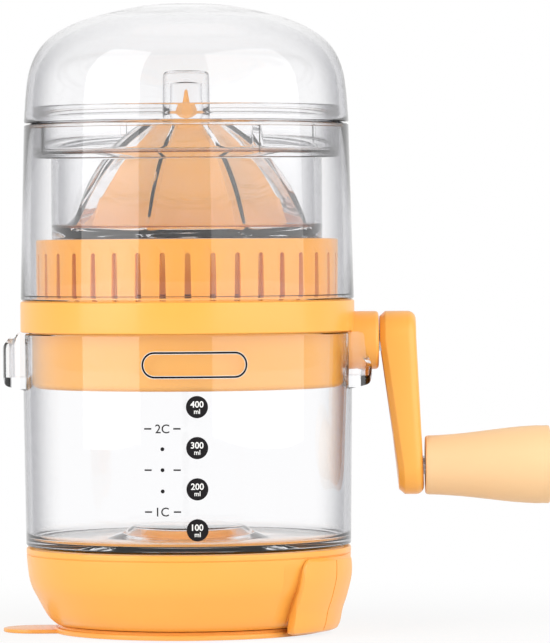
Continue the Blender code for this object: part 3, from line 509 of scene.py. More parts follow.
# ---------------------------------------------------------------- finishes
@dataclass(frozen=True)
class Moulded:
    """Opaque injection-moulded plastic or rubber, with flow marks, a fine spark grain and faint handling rub."""

    name: str
    colour: Colour
    deep: Colour
    roughness: float = 0.33
    grain: float = 0.010
    coat: float = 0.12
    glow: float = 0.0

    def make(self) -> bpy.types.Material:
        """Build the material."""
        material = bpy.data.materials.new(self.name)
        graph = Graph(material)
        flow = graph.noise(26.0, 3.0, graph.place((1.0, 1.0, 0.35)))
        cloud = graph.noise(140.0, 4.0)
        tint = graph.mixed(flow * 0.55 + cloud * 0.25, self.colour, self.deep)
        spark = graph.noise(5200.0, 2.0)
        rub = graph.noise(420.0, 5.0, graph.place((1.0, 1.0, 0.25)), 0.65)
        rough = (rub - 0.5) * 0.16 + (spark - 0.5) * 0.05 + self.roughness
        ripple = graph.bumped(flow, 0.00025, 0.25)
        skin = graph.node("ShaderNodeBump", {}, {"Height": spark, "Distance": self.grain * MM, "Strength": 0.6, "Normal": ripple})
        shader = graph.value(
            "ShaderNodeBsdfPrincipled",
            {},
            {
                "Base Color": tint,
                "Roughness": rough,
                "Normal": skin.outputs[0],
                "IOR": 1.5,
                "Coat Weight": self.coat,
                "Coat Roughness": 0.08,
                "Subsurface Weight": self.glow,
                "Subsurface Radius": (1.0, 0.45, 0.15),
                "Subsurface Scale": 0.0016,
            },
        )
        graph.surface(shader)
        return material


@dataclass(frozen=True)
class ClearPlastic:
    """Water-clear moulded plastic: real walls that bend and dim light, with faint flow waves, fine scuffs and a painted
    grey shade where upright walls are seen edge-on.
    """

    name: str
    tint: Colour = (0.99, 0.99, 0.995, 1.0)
    # grey painted into the colour where an upright wall turns edge-on: painted shade
    painted_edge_shade: Colour = (0.20, 0.20, 0.23, 1.0)
    dim: Colour = (0.52, 0.52, 0.58, 1.0)
    density: float = 3.0
    edge_from: float = 0.38
    edge_full: float = 0.86
    passing: Colour = (0.94, 0.94, 0.945, 1.0)

    def make(self) -> bpy.types.Material:
        """Build the material."""
        material = bpy.data.materials.new(self.name)
        graph = Graph(material)
        wave = graph.noise(38.0, 2.0, graph.place((1.0, 1.0, 0.3)))
        scuff = graph.noise(900.0, 5.0, graph.place((1.0, 1.0, 0.12)), 0.7)
        # painted shade: the colour turns grey where an upright, front-facing wall turns away from the view, darkening
        # its edges
        facing = graph.value("ShaderNodeLayerWeight", {}, {"Blend": 0.5}, "Facing")
        edge = graph.value("ShaderNodeMapRange", {"interpolation_type": "SMOOTHSTEP"}, {0: facing, 1: self.edge_from, 2: self.edge_full, 3: 0.0, 4: 1.0})
        shape = graph.node("ShaderNodeNewGeometry")
        level = Value(graph, graph.node("ShaderNodeSeparateXYZ", {}, {0: shape.outputs["Normal"]}).outputs["Z"])
        edge = edge * (1 - level * level) * (1 - Value(graph, shape.outputs["Backfacing"]))
        shader = graph.value(
            "ShaderNodeBsdfPrincipled",
            {},
            {
                "Base Color": graph.mixed(edge, self.tint, self.painted_edge_shade),
                "Roughness": scuff * 0.035,
                "IOR": 1.52,
                "Transmission Weight": 1.0,
                "Normal": graph.bumped(wave, 0.0004, 0.18),
            },
        )
        path = graph.node("ShaderNodeLightPath")
        lamp = Value(graph, path.outputs["Is Shadow Ray"]).largest(path.outputs["Is Diffuse Ray"])
        through = graph.value("ShaderNodeBsdfTransparent", {}, {"Color": self.passing})
        both = graph.value("ShaderNodeMixShader", {}, {0: lamp, 1: shader, 2: through})
        graph.surface(both, graph.value("ShaderNodeVolumeAbsorption", {}, {"Color": self.dim, "Density": self.density}))
        return material


@dataclass(frozen=True)
class Steel:
    """Turned or drawn steel, with fine rings along its axis."""

    name: str
    colour: Colour = (0.63, 0.63, 0.65, 1.0)
    roughness: float = 0.26
    stretch: tuple[float, float, float] = (1.0, 1.0, 22.0)

    def make(self) -> bpy.types.Material:
        """Build the material."""
        material = bpy.data.materials.new(self.name)
        graph = Graph(material)
        rings = graph.noise(160.0, 3.0, graph.place(self.stretch))
        spots = graph.noise(700.0, 4.0)
        tint = graph.mixed(spots * 0.5, self.colour, tuple(c * 0.8 for c in self.colour[:3]) + (1.0,))
        shader = graph.value(
            "ShaderNodeBsdfPrincipled",
            {},
            {
                "Base Color": tint,
                "Metallic": 1.0,
                "Roughness": (rings - 0.5) * 0.25 + self.roughness,
                "Normal": graph.bumped(rings, 0.00001, 0.5),
            },
        )
        graph.surface(shader)
        return material


@dataclass(frozen=True)
class Ink:
    """Pad-printed ink with a slightly uneven lay."""

    name: str
    colour: Colour
    thin: Colour

    def make(self) -> bpy.types.Material:
        """Build the material."""
        material = bpy.data.materials.new(self.name)
        graph = Graph(material)
        lay = graph.noise(3200.0, 3.0)
        shader = graph.value(
            "ShaderNodeBsdfPrincipled",
            {},
            {
                "Base Color": graph.mixed(lay * 0.6, self.colour, self.thin),
                "Roughness": (lay - 0.5) * 0.2 + 0.62,
                "Specular IOR Level": 0.16,
                "Normal": graph.bumped(lay, 0.000006),
            },
        )
        graph.surface(shader)
        return material


class Finishes:
    """Every finish of the juicer, made once."""

    def __init__(self) -> None:
        """Make the materials."""
        self.shell = Moulded("orange_abs", (0.960, 0.462, 0.082, 1), (0.935, 0.420, 0.064, 1)).make()
        self.food = Moulded("orange_food_grade", (0.940, 0.400, 0.040, 1), (0.915, 0.360, 0.030, 1), 0.38, 0.012, 0.06).make()
        self.cream = Moulded("cream_grip", (0.905, 0.605, 0.320, 1), (0.885, 0.565, 0.285, 1), 0.45, 0.016, 0.0).make()
        self.pad = Moulded("suction_rubber", (0.930, 0.430, 0.085, 1), (0.900, 0.390, 0.070, 1), 0.36, 0.008, 0.25).make()
        self.seal = Moulded("seal_rubber", (0.780, 0.760, 0.720, 1), (0.720, 0.700, 0.660, 1), 0.55, 0.012, 0.0).make()
        self.nylon = Moulded("bearing_nylon", (0.840, 0.825, 0.780, 1), (0.800, 0.780, 0.730, 1), 0.42, 0.010, 0.0).make()
        self.clear = ClearPlastic("clear_plastic").make()
        self.steel = Steel("shaft_steel").make()
        self.spring = Steel("spring_wire", (0.55, 0.55, 0.57, 1.0), 0.34, (1.0, 1.0, 1.0)).make()
        self.screw = Steel("screw_steel", (0.66, 0.66, 0.67, 1.0), 0.30, (8.0, 8.0, 8.0)).make()
        self.black = Ink("black_ink", (0.008, 0.007, 0.008, 1), (0.016, 0.014, 0.016, 1)).make()
        self.white = Ink("white_ink", (0.90, 0.90, 0.88, 1), (0.80, 0.80, 0.78, 1)).make()


@dataclass
class Workshop:
    """What every sub-assembly needs: the finishes, and one way to finish a piece."""

    finishes: Finishes

    def dress(
        self,
        obj: bpy.types.Object,
        finish: bpy.types.Material,
        body: str,
        slot: str | None = None,
        nodes: Sequence[str] = (),
        angle: float = 34.0,
    ) -> bpy.types.Object:
        """Shade a piece, give it its finish and let it ride on its body.

        Args:
            obj: the finished mesh.
            finish: its material.
            body: the body that it moves with.
            slot: the record's material slot; not used.
            nodes: the CAD nodes that it stands for.
            angle: the angle up to which faces shade smoothly, in degrees.

        Returns:
            The piece.
        """
        pick(obj)
        bpy.ops.object.shade_smooth_by_angle(angle=math.radians(angle))
        obj.data.materials.clear()
        obj.data.materials.append(finish)
        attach(obj, body)
        if nodes:
            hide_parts(*nodes)
        LOG.info("%s: %d faces", obj.name, len(obj.data.polygons))
        return obj


def edges_of(node: str) -> tuple[Vector, Vector]:
    """A CAD node's lowest and highest corner, in millimetres."""
    low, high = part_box(node)
    return low / MM, high / MM


# ---------------------------------------------------------------- suction base
@dataclass
class SuctionBase:
    """The bowl-shaped base with its hidden suction stud, the rubber pad and the sliding suction lever."""

    shop: Workshop
    boss_r: float = 15.5
    guide_r: float = 12.4
    deck: float = 2.1
    lever_from: float = -46.0
    lever_to: float = -12.0
    arm_at: float = -40.0
    arm_swing: tuple[float, float] = (-45.3, -10.7)
    tab_half: float = 11.0
    recess: float = 1.4
    recess_from: float = -54.0
    line_at: float = -28.3
    bowl: tuple[Point, ...] = (
        (0.0, 26.05), (0.04, 25.2), (0.15, 22.95), (0.7, 18.0), (1.6, 14.6),
        (3.2, 11.5), (4.5, 9.05), (6.0, 6.35), (7.5, 4.32), (9.3, 2.81),
    )  # (inset from the rim's radius, height)
    lever_out: tuple[Point, ...] = ((0.4, 23.8), (0.3, 18.3), (-1.3, 12.0), (-2.8, 7.7), (-3.7, 3.5), (-4.6, 1.4))
    lever_in: tuple[Point, ...] = ((-6.9, 3.2), (-6.0, 6.6), (-4.4, 9.4), (-3.35, 12.0), (-1.85, 15.2), (-1.2, 18.3), (-0.62, 23.0))

    def __post_init__(self) -> None:
        """Take the places from the CAD."""
        high = edges_of("base_shell")[1]
        self.shell_r, self.boss_top = high.y, high.z
        self.top = edges_of("juice_cup")[0].z - GAP
        self.rim_r = edges_of("juice_cup")[1].y
        self.arm_z = edges_of("cam_arm")[0].z
        pad_low, pad_high = edges_of("suction_pad")
        self.pad_r, self.tab_reach = pad_high.y, -pad_low.x

    def shell(self) -> None:
        """The bowl, with a seam line under its rim, the lever's slot and a finger recess beside the lever."""
        r, top, seam = self.shell_r, self.top, self.top - 1.9
        outer = flowing([(r - inset, z) for inset, z in self.bowl], 4)
        groove = [(r - 0.03, seam + 0.22), (r - 0.30, seam + 0.08), (r - 0.30, seam - 0.08), (r - 0.05, seam - 0.22)]
        outer = [(r, top - 0.95)] + groove + [p for p in outer if p[1] < seam - 0.5]
        inner = flowing([(r - inset - CLEAR_WALL, z) for inset, z in self.bowl if z < top - 2 * self.deck], 3)
        inner = [(outer[-1][0] - CLEAR_WALL, outer[-1][1])] + inner[-2::-1]
        guide = self.guide_r
        section = (
            softened([(0, self.boss_top, 0), (self.boss_r, self.boss_top, 1.2), (self.boss_r, top, 0.5), (r, top, 0.9), (r, top - 0.95, 0)], 5)[:-1]
            + outer
            + inner
            + [(inner[-1][0] + 0.6, top - self.deck), (guide + WALL, top - self.deck), (guide + WALL, 13.9), (guide, 13.9),
               (guide, self.boss_top - CLEAR_WALL), (0, self.boss_top - CLEAR_WALL)]
        )
        shell = turned("base_bowl", section)
        start, end = self.arm_swing
        arc = [start + (end - start) * i / 12 for i in range(13)]
        plan = [polar(self.rim_r + 3, a) for a in arc] + [polar(self.rim_r - 9, a) for a in reversed(arc)]
        slot = slab("slot_tool", plan, self.arm_z - GAP, self.arm_z + 2.5 + GAP)
        pin = brick("pin_tool", (-guide - 4, -1.5, 11.6), (guide + 4, 1.5, 19.9))
        hollow = [p for p in flowing([(r - inset, z) for inset, z in self.bowl], 4) if 3.4 < p[1] < 23.6]
        head, foot = hollow[0][1], hollow[-1][1]
        floor = [(u - self.recess * math.sin(math.pi * (head - z) / (head - foot)), z) for u, z in reversed(hollow)]
        hollow_line = [(r + 2, head + 0.2), (r + 2, foot - 0.2), (floor[0][0] + 0.1, foot - 0.2)]
        hollow_line += floor + [(floor[-1][0] + 0.1, head + 0.2)]
        recess = turned("recess_tool", hollow_line, 12, self.recess_from, self.lever_from - self.recess_from)
        carve(shell, slot, pin, recess)
        self.shop.dress(shell, self.shop.finishes.shell, "base", "orange_shell", ["base_shell"])

    def pad(self) -> None:
        """The rubber pad, with its pull tab."""
        r = self.pad_r
        section = [
            (0, 1.7, 0), (3.3, 1.7, 0), (3.3, 4.4, 0.2), (8.2, 4.4, 0.3), (9.0, 3.8, 0.2), (10.5, 2.4, 0.6), (r - 4.4, 1.8, 0.3), (r - 3.6, 2.5, 0.1),
            (r - 1.8, 2.5, 0.2), (r - 1.4, 1.6, 0.3), (r - 0.4, 1.6, 0.2), (r, 1.2, 0.4), (r, 0, 0.25), (0, 0, 0),
        ]
        pad = turned("pad", softened(section, 4))
        end = self.tab_reach - self.tab_half
        plan = [(-(r - 5), -self.tab_half)]
        plan += [(-end - self.tab_half * math.sin(math.pi * i / 28), -self.tab_half * math.cos(math.pi * i / 28)) for i in range(29)]
        plan += [(-(r - 5), self.tab_half)]
        tab = ease(slab("tab_tool", plan, 0.0, 1.2), 0.35, 3)
        carve(pad, tab, how=Cut.ONTO)
        self.shop.dress(pad, self.shop.finishes.pad, "base", "suction_rubber", ["suction_pad"])

    def lever(self) -> None:
        """The curved lever panel, with rounded corners, a cut for the cam arm and a groove line down its face."""
        r = self.rim_r
        outside = [(r - 0.5, 24.8)] + flowing([(r + a, z) for a, z in self.lever_out], 5) + [(r - 5.8, 0.8)]
        inside = [(r - 6.9, 1.2)] + flowing([(r + a, z) for a, z in self.lever_in], 4) + [(r - 0.62, 24.6)]
        span = self.lever_to - self.lever_from
        panel = turned("lever", outside + inside, 40, self.lever_from - 1, span + 2)
        middle = (self.lever_from + self.lever_to) / 2
        half = r * math.sin(math.radians(span / 2))
        frame_line = softened([(half, 25, 4.4), (-half, 25, 4.4), (-half, 0.5, 4.4), (half, 0.5, 4.4)], 8)
        carve(panel, slab("edge_tool", frame_line, r - 14, r + 4, Plane.YZ, middle), how=Cut.WITHIN)
        arm_end = r - 2.6
        carve(panel, brick("arm_tool", (r - 9, -4.3, self.arm_z - GAP), (arm_end + GAP, 4.3, self.arm_z + 2.4), self.arm_at))
        ease(panel, 0.35, 3, 50)
        face = flowing([(r + a, z) for a, z in self.lever_out], 5)
        line = turned("line_tool", [(u + 1, z) for u, z in face] + [(u - 0.2, z) for u, z in reversed(face)], 2, self.line_at, 0.6)
        carve(panel, line)
        self.shop.dress(panel, self.shop.finishes.shell, "lever", "orange_shell", ["lever_panel"])

    def build(self) -> None:
        """Build every piece."""
        self.shell()
        self.pad()
        self.lever()


# ---------------------------------------------------------------- juice cup
@dataclass
class JuiceCup:
    """The clear measuring cup, with two spouts, a punt in its floor and printed graduations."""

    shop: Workshop
    floor: float = 2.2
    punt_h: float = 6.0
    punt_r: float = 17.9
    spout_half: float = 11.6
    spout_depth: float = 15.8
    spout_corner: float = 7.4
    notch_r: float = 9.7
    ink_lift: float = 0.03

    def __post_init__(self) -> None:
        """Take the places from the CAD."""
        low, high = edges_of("juice_cup")
        self.z, self.rim = low.z, high.z
        self.r, self.reach = high.y, high.x
        self.foot = self.r - 0.8
        self.axis_z = frame_axis("crank_spin")

    def spout_plan(self, inset: float, start: float) -> list[Point]:
        """The spout seen from above, pointing to +X."""
        corner = self.spout_corner - inset
        half, reach = self.spout_half - inset, self.reach - inset
        angles = [math.pi / 20 * i for i in range(11)]
        arc = [(reach - corner + corner * math.sin(a), half - corner + corner * math.cos(a)) for a in angles]
        return [(start, half)] + arc + [(x, -y) for x, y in reversed(arc)] + [(start, -half)]

    def cup(self) -> None:
        """The cup itself."""
        z, rim, r, foot = self.z, self.rim, self.r, self.foot
        punt, rise = self.punt_r, self.punt_h
        section = [
            (0, z + rise, 0), (punt - 0.2, z + rise, 1.0), (punt + 3.4, z + 3.9, 2.4), (punt + 7.5, z + self.floor, 3.0),
            (foot - WALL, z + self.floor, 2.6), (r - WALL, rim - 0.3, 0), (r - WALL + 0.5, rim, 0.3), (r - 0.4, rim, 0.3), (r, rim - 0.5, 0.3),
            (foot, z + 0.8, 0.8), (foot - 1.0, z, 0.8), (punt + 6.3, z, 2.0), (punt + 2.1, z + 1.4, 1.6), (punt - 1.0, z + rise - 1.9, 1.0),
            (punt - 1.8, z + rise - 1.7, 0.3), (0, z + rise - 1.7, 0),
        ]
        cup = turned("cup", softened(section, 5))
        low = rim - self.spout_depth
        side = softened(
            [(r - 3, low - 2.6, 0), (r - 0.4, low - 2.2, 0.4), (self.reach - 0.6, low - 0.8, 2.2), (self.reach, low + 2.4, 1.0),
             (self.reach, rim - 4.0, 4.0), (self.reach - 3.6, rim, 2.4), (r - 3, rim, 0)], 5)
        lips, pockets = [], []
        for turn in (0.0, 180.0):
            lip = slab("lip_tool", self.spout_plan(0.0, r - 1.7), low - 4, rim + 1, turn=turn)
            across = slab("side_tool", side, -self.spout_half - 1, self.spout_half + 1, Plane.XZ, turn)
            lips.append(carve(lip, across, how=Cut.WITHIN))
            pockets.append(slab("pocket_tool", self.spout_plan(WALL, r - 6), low + 1.8, rim + 1, turn=turn))
        carve(cup, *lips, how=Cut.ONTO)
        carve(cup, *pockets)
        n = self.notch_r
        angles = [math.pi * i / 28 for i in range(29)]
        notch = [(-n, rim + 1)] + [(-n * math.cos(a), self.axis_z - n * math.sin(a)) for a in angles] + [(n, rim + 1)]
        carve(cup, slab("notch_tool", notch, r - 1.4, self.reach + 1, Plane.YZ))
        self.shop.dress(cup, self.shop.finishes.clear, "cup", "clear_plastic", ["juice_cup"])

    def wrapped(self, obj: bpy.types.Object, along: float, height: float, lift: float) -> bpy.types.Object:
        """Lay a flat XY mesh, in millimetres, on the front of the cup's wall.

        Args:
            obj: the flat mesh, centred on the origin.
            along: where its middle goes, along the wall from the front, positive to +X.
            height: how high its middle stands over the cup's foot.
            lift: how far it stands off the wall.

        Returns:
            The mesh, in place.
        """
        for vertex in obj.data.vertices:
            u, up = vertex.co.x + along, vertex.co.y + height
            radius = self.foot + (self.r - self.foot) * up / (self.rim - self.z) + lift + vertex.co.z
            turn = u / self.r - math.pi / 2
            vertex.co = Vector((radius * math.cos(turn), radius * math.sin(turn), self.z + up)) * MM
        return obj

    def flat(self, name: str, outline: Sequence[Point], cuts: int = 0) -> bpy.types.Object:
        """A flat face in millimetres, cut into smaller ones so that it can bend."""
        obj = loop_of(name, [Vector((u, v, 0)) for u, v in outline], "NGON")
        if cuts:
            pick(obj)
            bpy.ops.object.mode_set(mode="EDIT")
            bpy.ops.mesh.select_all(action="SELECT")
            bpy.ops.mesh.poke()
            bpy.ops.mesh.subdivide(number_cuts=cuts)
            bpy.ops.object.mode_set(mode="OBJECT")
        return obj

    def lettered(self, words: str, size: float, bold: float) -> bpy.types.Object:
        """A word or number as a flat mesh in millimetres, centred on the origin."""
        clear_selection()
        bpy.ops.object.text_add()
        obj = bpy.context.object
        obj.data.body = words
        obj.data.size = size
        obj.data.offset = bold
        obj.data.align_x, obj.data.align_y = "CENTER", "CENTER"
        obj.data.resolution_u = 4
        bpy.ops.object.convert(target="MESH")
        obj = bpy.context.object
        middle = sum((Vector(c) for c in obj.bound_box), Vector()) / 8
        obj.data.transform(Matrix.Translation(-middle))
        return obj

    def ring(self, half_u: float, half_v: float, line: float) -> bpy.types.Object:
        """A flat full-round outline in millimetres, with nothing inside it."""
        def loop(inset: float) -> list[Point]:
            """The outline drawn in by inset."""
            end = half_v - inset
            straight = half_u - half_v
            right = [(straight + end * math.sin(math.pi * i / 20), -end * math.cos(math.pi * i / 20)) for i in range(21)]
            top = [(straight - 2 * straight * i / 24, end) for i in range(1, 24)]
            left = [(-straight - end * math.sin(math.pi * i / 20), end * math.cos(math.pi * i / 20)) for i in range(21)]
            foot = [(-straight + 2 * straight * i / 24, -end) for i in range(1, 24)]
            return right + top + left + foot

        outer, inner = loop(0.0), loop(line)
        mesh = bpy.data.meshes.new("ring")
        count = len(outer)
        faces = [(i, (i + 1) % count, count + (i + 1) % count, count + i) for i in range(count)]
        mesh.from_pydata([(u, v, 0) for u, v in outer + inner], [], faces)
        obj = bpy.data.objects.new("ring", mesh)
        bpy.context.scene.collection.objects.link(obj)
        return obj

    def markings(self) -> None:
        """Graduations in millilitres and cups, and the empty pill outline above them."""
        lift = self.ink_lift
        disc = [(3.45 * math.cos(math.pi * i / 24), 3.45 * math.sin(math.pi * i / 24)) for i in range(48)]
        dot = [(0.62 * math.cos(math.pi * i / 10), 0.62 * math.sin(math.pi * i / 10)) for i in range(20)]
        dash = [(-1.15, -0.24), (1.15, -0.24), (1.15, 0.24), (-1.15, 0.24)]
        black, white = [], []
        for amount, height in (("400", 45.9), ("300", 33.2), ("200", 20.4), ("100", 7.7)):
            black.append(self.wrapped(self.flat("disc", disc, 3), 3.7, height, lift))
            white.append(self.wrapped(self.lettered(amount, 2.75, 0.05), 3.7, height + 0.85, 2 * lift))
            white.append(self.wrapped(self.lettered("ml", 2.1, 0.03), 3.7, height - 1.35, 2 * lift))
        for words, height in (("2C", 39.2), ("1C", 13.4)):
            black.append(self.wrapped(self.lettered(words, 3.9, 0.03), -7.2, height, lift))
        for height in (32.9, 26.4, 19.8):
            black.append(self.wrapped(self.flat("dot", dot, 1), -7.2, height, lift))
        for height in (39.2, 26.4, 13.4):
            for side in (-4.6, 4.6):
                black.append(self.wrapped(self.flat("dash", dash, 2), -7.2 + side, height, lift))
        black.append(self.wrapped(self.ring(16.75, 4.10, 0.62), 3.1, 58.9, 2 * lift))
        white.append(self.wrapped(self.ring(16.9, 4.25, 0.92), 3.1, 58.9, lift))
        self.shop.dress(joined("cup_print_black", black), self.shop.finishes.black, "cup")
        self.shop.dress(joined("cup_print_white", white), self.shop.finishes.white, "cup")

    def build(self) -> None:
        """Build every piece."""
        self.cup()
        self.markings()


def frame_axis(joint: str) -> float:
    """The height of a joint's axis, in millimetres."""
    return next(j["pos_m"][2] for j in frame["joints"] if j["name"] == joint) / MM


# ---------------------------------------------------------------- housing
@dataclass
class Housing:
    """The orange ring and skirt with the gearbox inside, the slotted strainer and the reamer."""

    shop: Workshop
    gearbox_r: float = 13.5
    bore_r: float = 4.9
    hub_r: float = 9.3
    drains: int = 9
    slots: int = 39
    slot_phase: float = 0.38
    reamer_rows: tuple[Corner, ...] = (
        (0.014, 64.2, 0.0), (0.062, 58.0, 0.05), (0.246, 48.3, 0.14), (0.366, 45.8, 0.16), (0.503, 42.6, 0.17), (0.66, 38.0, 0.17),
        (0.823, 28.8, 0.16), (0.868, 26.9, 0.15), (0.914, 17.0, 0.13), (0.97, 4.0, 0.10), (1.0, 0.0, 0.08),
    )
    reamer_inside: tuple[Corner, ...] = (
        (0.90, 0.0, 0.0), (0.80, 17.0, 0.0), (0.68, 28.0, 0.0), (0.47, 37.0, 0.0), (0.25, 41.0, 0.0), (0.225, 38.0, 0.0), (0.215, 3.0, 0.0),
    )

    def __post_init__(self) -> None:
        """Take the places from the CAD."""
        low, high = edges_of("housing")
        self.ring_r, self.skirt_z, self.top, self.boss_end = high.y, low.z, high.z, high.x
        self.rim_r = edges_of("juice_cup")[1].y
        self.ledge = edges_of("cover_sleeve")[0].z - GAP
        self.ring_z = edges_of("juice_cup")[1].z + GAP
        self.axis_z = frame_axis("crank_spin")
        self.box_z = self.axis_z - 10.6
        self.turret = self.axis_z + 13.4
        self.deck = self.ledge - 5.6

    def body(self) -> None:
        """Ring, skirt, deck, gearbox and crank boss in one moulding."""
        ring, skirt, spigot, box = self.ring_r, self.rim_r - 3.0, self.rim_r - 2.2, self.gearbox_r
        section = [
            (5.1, self.turret, 0), (box + WALL, self.turret, 1.2), (box + WALL, self.deck, 0.8), (spigot - 1.6, self.deck, 0.6),
            (spigot - 1.6, self.top, 0.5), (spigot, self.top, 0.5), (spigot, self.ledge, 0.2), (ring, self.ledge, 0.55), (ring, self.ring_z, 0.45),
            (skirt, self.ring_z, 0.3), (skirt, self.skirt_z, 2.4), (skirt - 4.6, self.skirt_z, 0.4), (skirt - 4.6, self.skirt_z + WALL, 0.4),
            (skirt - WALL, self.skirt_z + WALL, 0.6), (skirt - WALL, self.deck - WALL, 1.0), (box + WALL, self.deck - WALL, 1.0),
            (box + WALL, self.box_z, 0.3), (box, self.box_z, 0.3), (box, self.turret - 2.2, 0.3), (5.1, self.turret - 2.2, 0),
        ]
        body = turned("housing_body", softened(section, 5))
        tube = softened(
            [(0, self.boss_end, 0), (self.hub_r, self.boss_end, 1.3), (self.hub_r, skirt - 1.4, 0), (7.0, skirt - 1.4, 0), (7.0, box + 0.9, 0), (0, box + 0.9, 0)], 5)
        boss = turned("boss_tool", tube, FINE, axis=Axis.ALONG_X, height=self.axis_z)
        ears = []
        for at in (60.0, 180.0, 300.0):
            x, y = polar(box + 4.3, at)
            outline = [(x + u, y + v) for u, v in (polar(2.9, 15 * i) for i in range(24))]
            ears.append(slab("ear_tool", outline, self.box_z + 0.1, self.deck - WALL / 2))
        carve(body, boss, *ears, how=Cut.ONTO)
        bore = turned("bore_tool", [(0, self.boss_end + 1), (self.bore_r, self.boss_end + 1), (self.bore_r, box - 2), (0, box - 2)], FINE,
                      axis=Axis.ALONG_X, height=self.axis_z)
        near = spigot - 7.6
        drains = []
        for i in range(self.drains):
            outline = softened([(near, -2.2, 1.2), (near + 5.0, -2.2, 1.2), (near + 5.0, 2.2, 1.2), (near, 2.2, 1.2)], 3)
            drains.append(slab("drain_tool", outline, self.deck - 2 * WALL, self.deck + 1, turn=360 * (i + 0.5) / self.drains))
        carve(body, bore, joined("drain_tools", drains))
        self.shop.dress(body, self.shop.finishes.shell, "housing", "orange_shell", ["housing"])

    def strainer(self) -> None:
        """The basket, with round-topped slots all round it."""
        low, high = edges_of("strainer_basket")
        r, z, top = high.y, low.z, high.z
        collar = self.gearbox_r + WALL + 0.6
        section = [
            (collar, self.turret + 1.4, 0.3), (collar + 1.7, self.turret + 1.4, 0.4), (collar + 1.8, z + 1.6, 0.8), (r - WALL, z + 1.6, 1.4),
            (r - WALL, top, 0.5), (r, top, 0.6), (r, z, 1.0), (collar, z, 0.2),
        ]
        basket = turned("strainer", softened(section, 5), 2 * self.slots)
        head, foot, half = top - 4.3, z + 3.2, 1.05
        cap = 0.82
        angles = [math.pi * i / 10 for i in range(11)]
        outline = [(-half, foot), (half, foot)] + [(cap * math.cos(a), head - cap + cap * math.sin(a)) for a in angles]
        tools = [
            slab("slot_tool", outline, r - 2 * WALL, r + 2, Plane.YZ, 360 * (i + self.slot_phase) / self.slots) for i in range(self.slots)
        ]
        carve(basket, joined("slot_tools", tools))
        ease(basket, 0.30, 2, 50)
        self.shop.dress(basket, self.shop.finishes.food, "housing", "orange_food_plastic", ["strainer_basket"])

    def reamer(self) -> None:
        """The ridged reamer, hollow underneath, with its socket on the spindle."""
        low, high = edges_of("reamer")
        base, scale = low.z, self.rim_r - 17.8
        outside = [(0.0, high.z - base, 0.0)] + flow3(self.reamer_rows, 5)
        rows = outside + flow3(self.reamer_inside, 3) + [(0.0, 3.0, 0.0)]
        rows = [(r * scale, base + z, depth) for r, z, depth in rows]
        reamer = fluted("reamer_cone", rows)
        spindle_top = edges_of("spindle")[1].z
        socket = slab("socket_tool", [polar(3.1, 7.5 * i) for i in range(48)], base - 1, spindle_top + 0.4)
        carve(reamer, socket)
        self.shop.dress(reamer, self.shop.finishes.food, "spindle", "orange_food_plastic", ["reamer"], 28.0)

    def build(self) -> None:
        """Build every piece."""
        self.body()
        self.strainer()
        self.reamer()


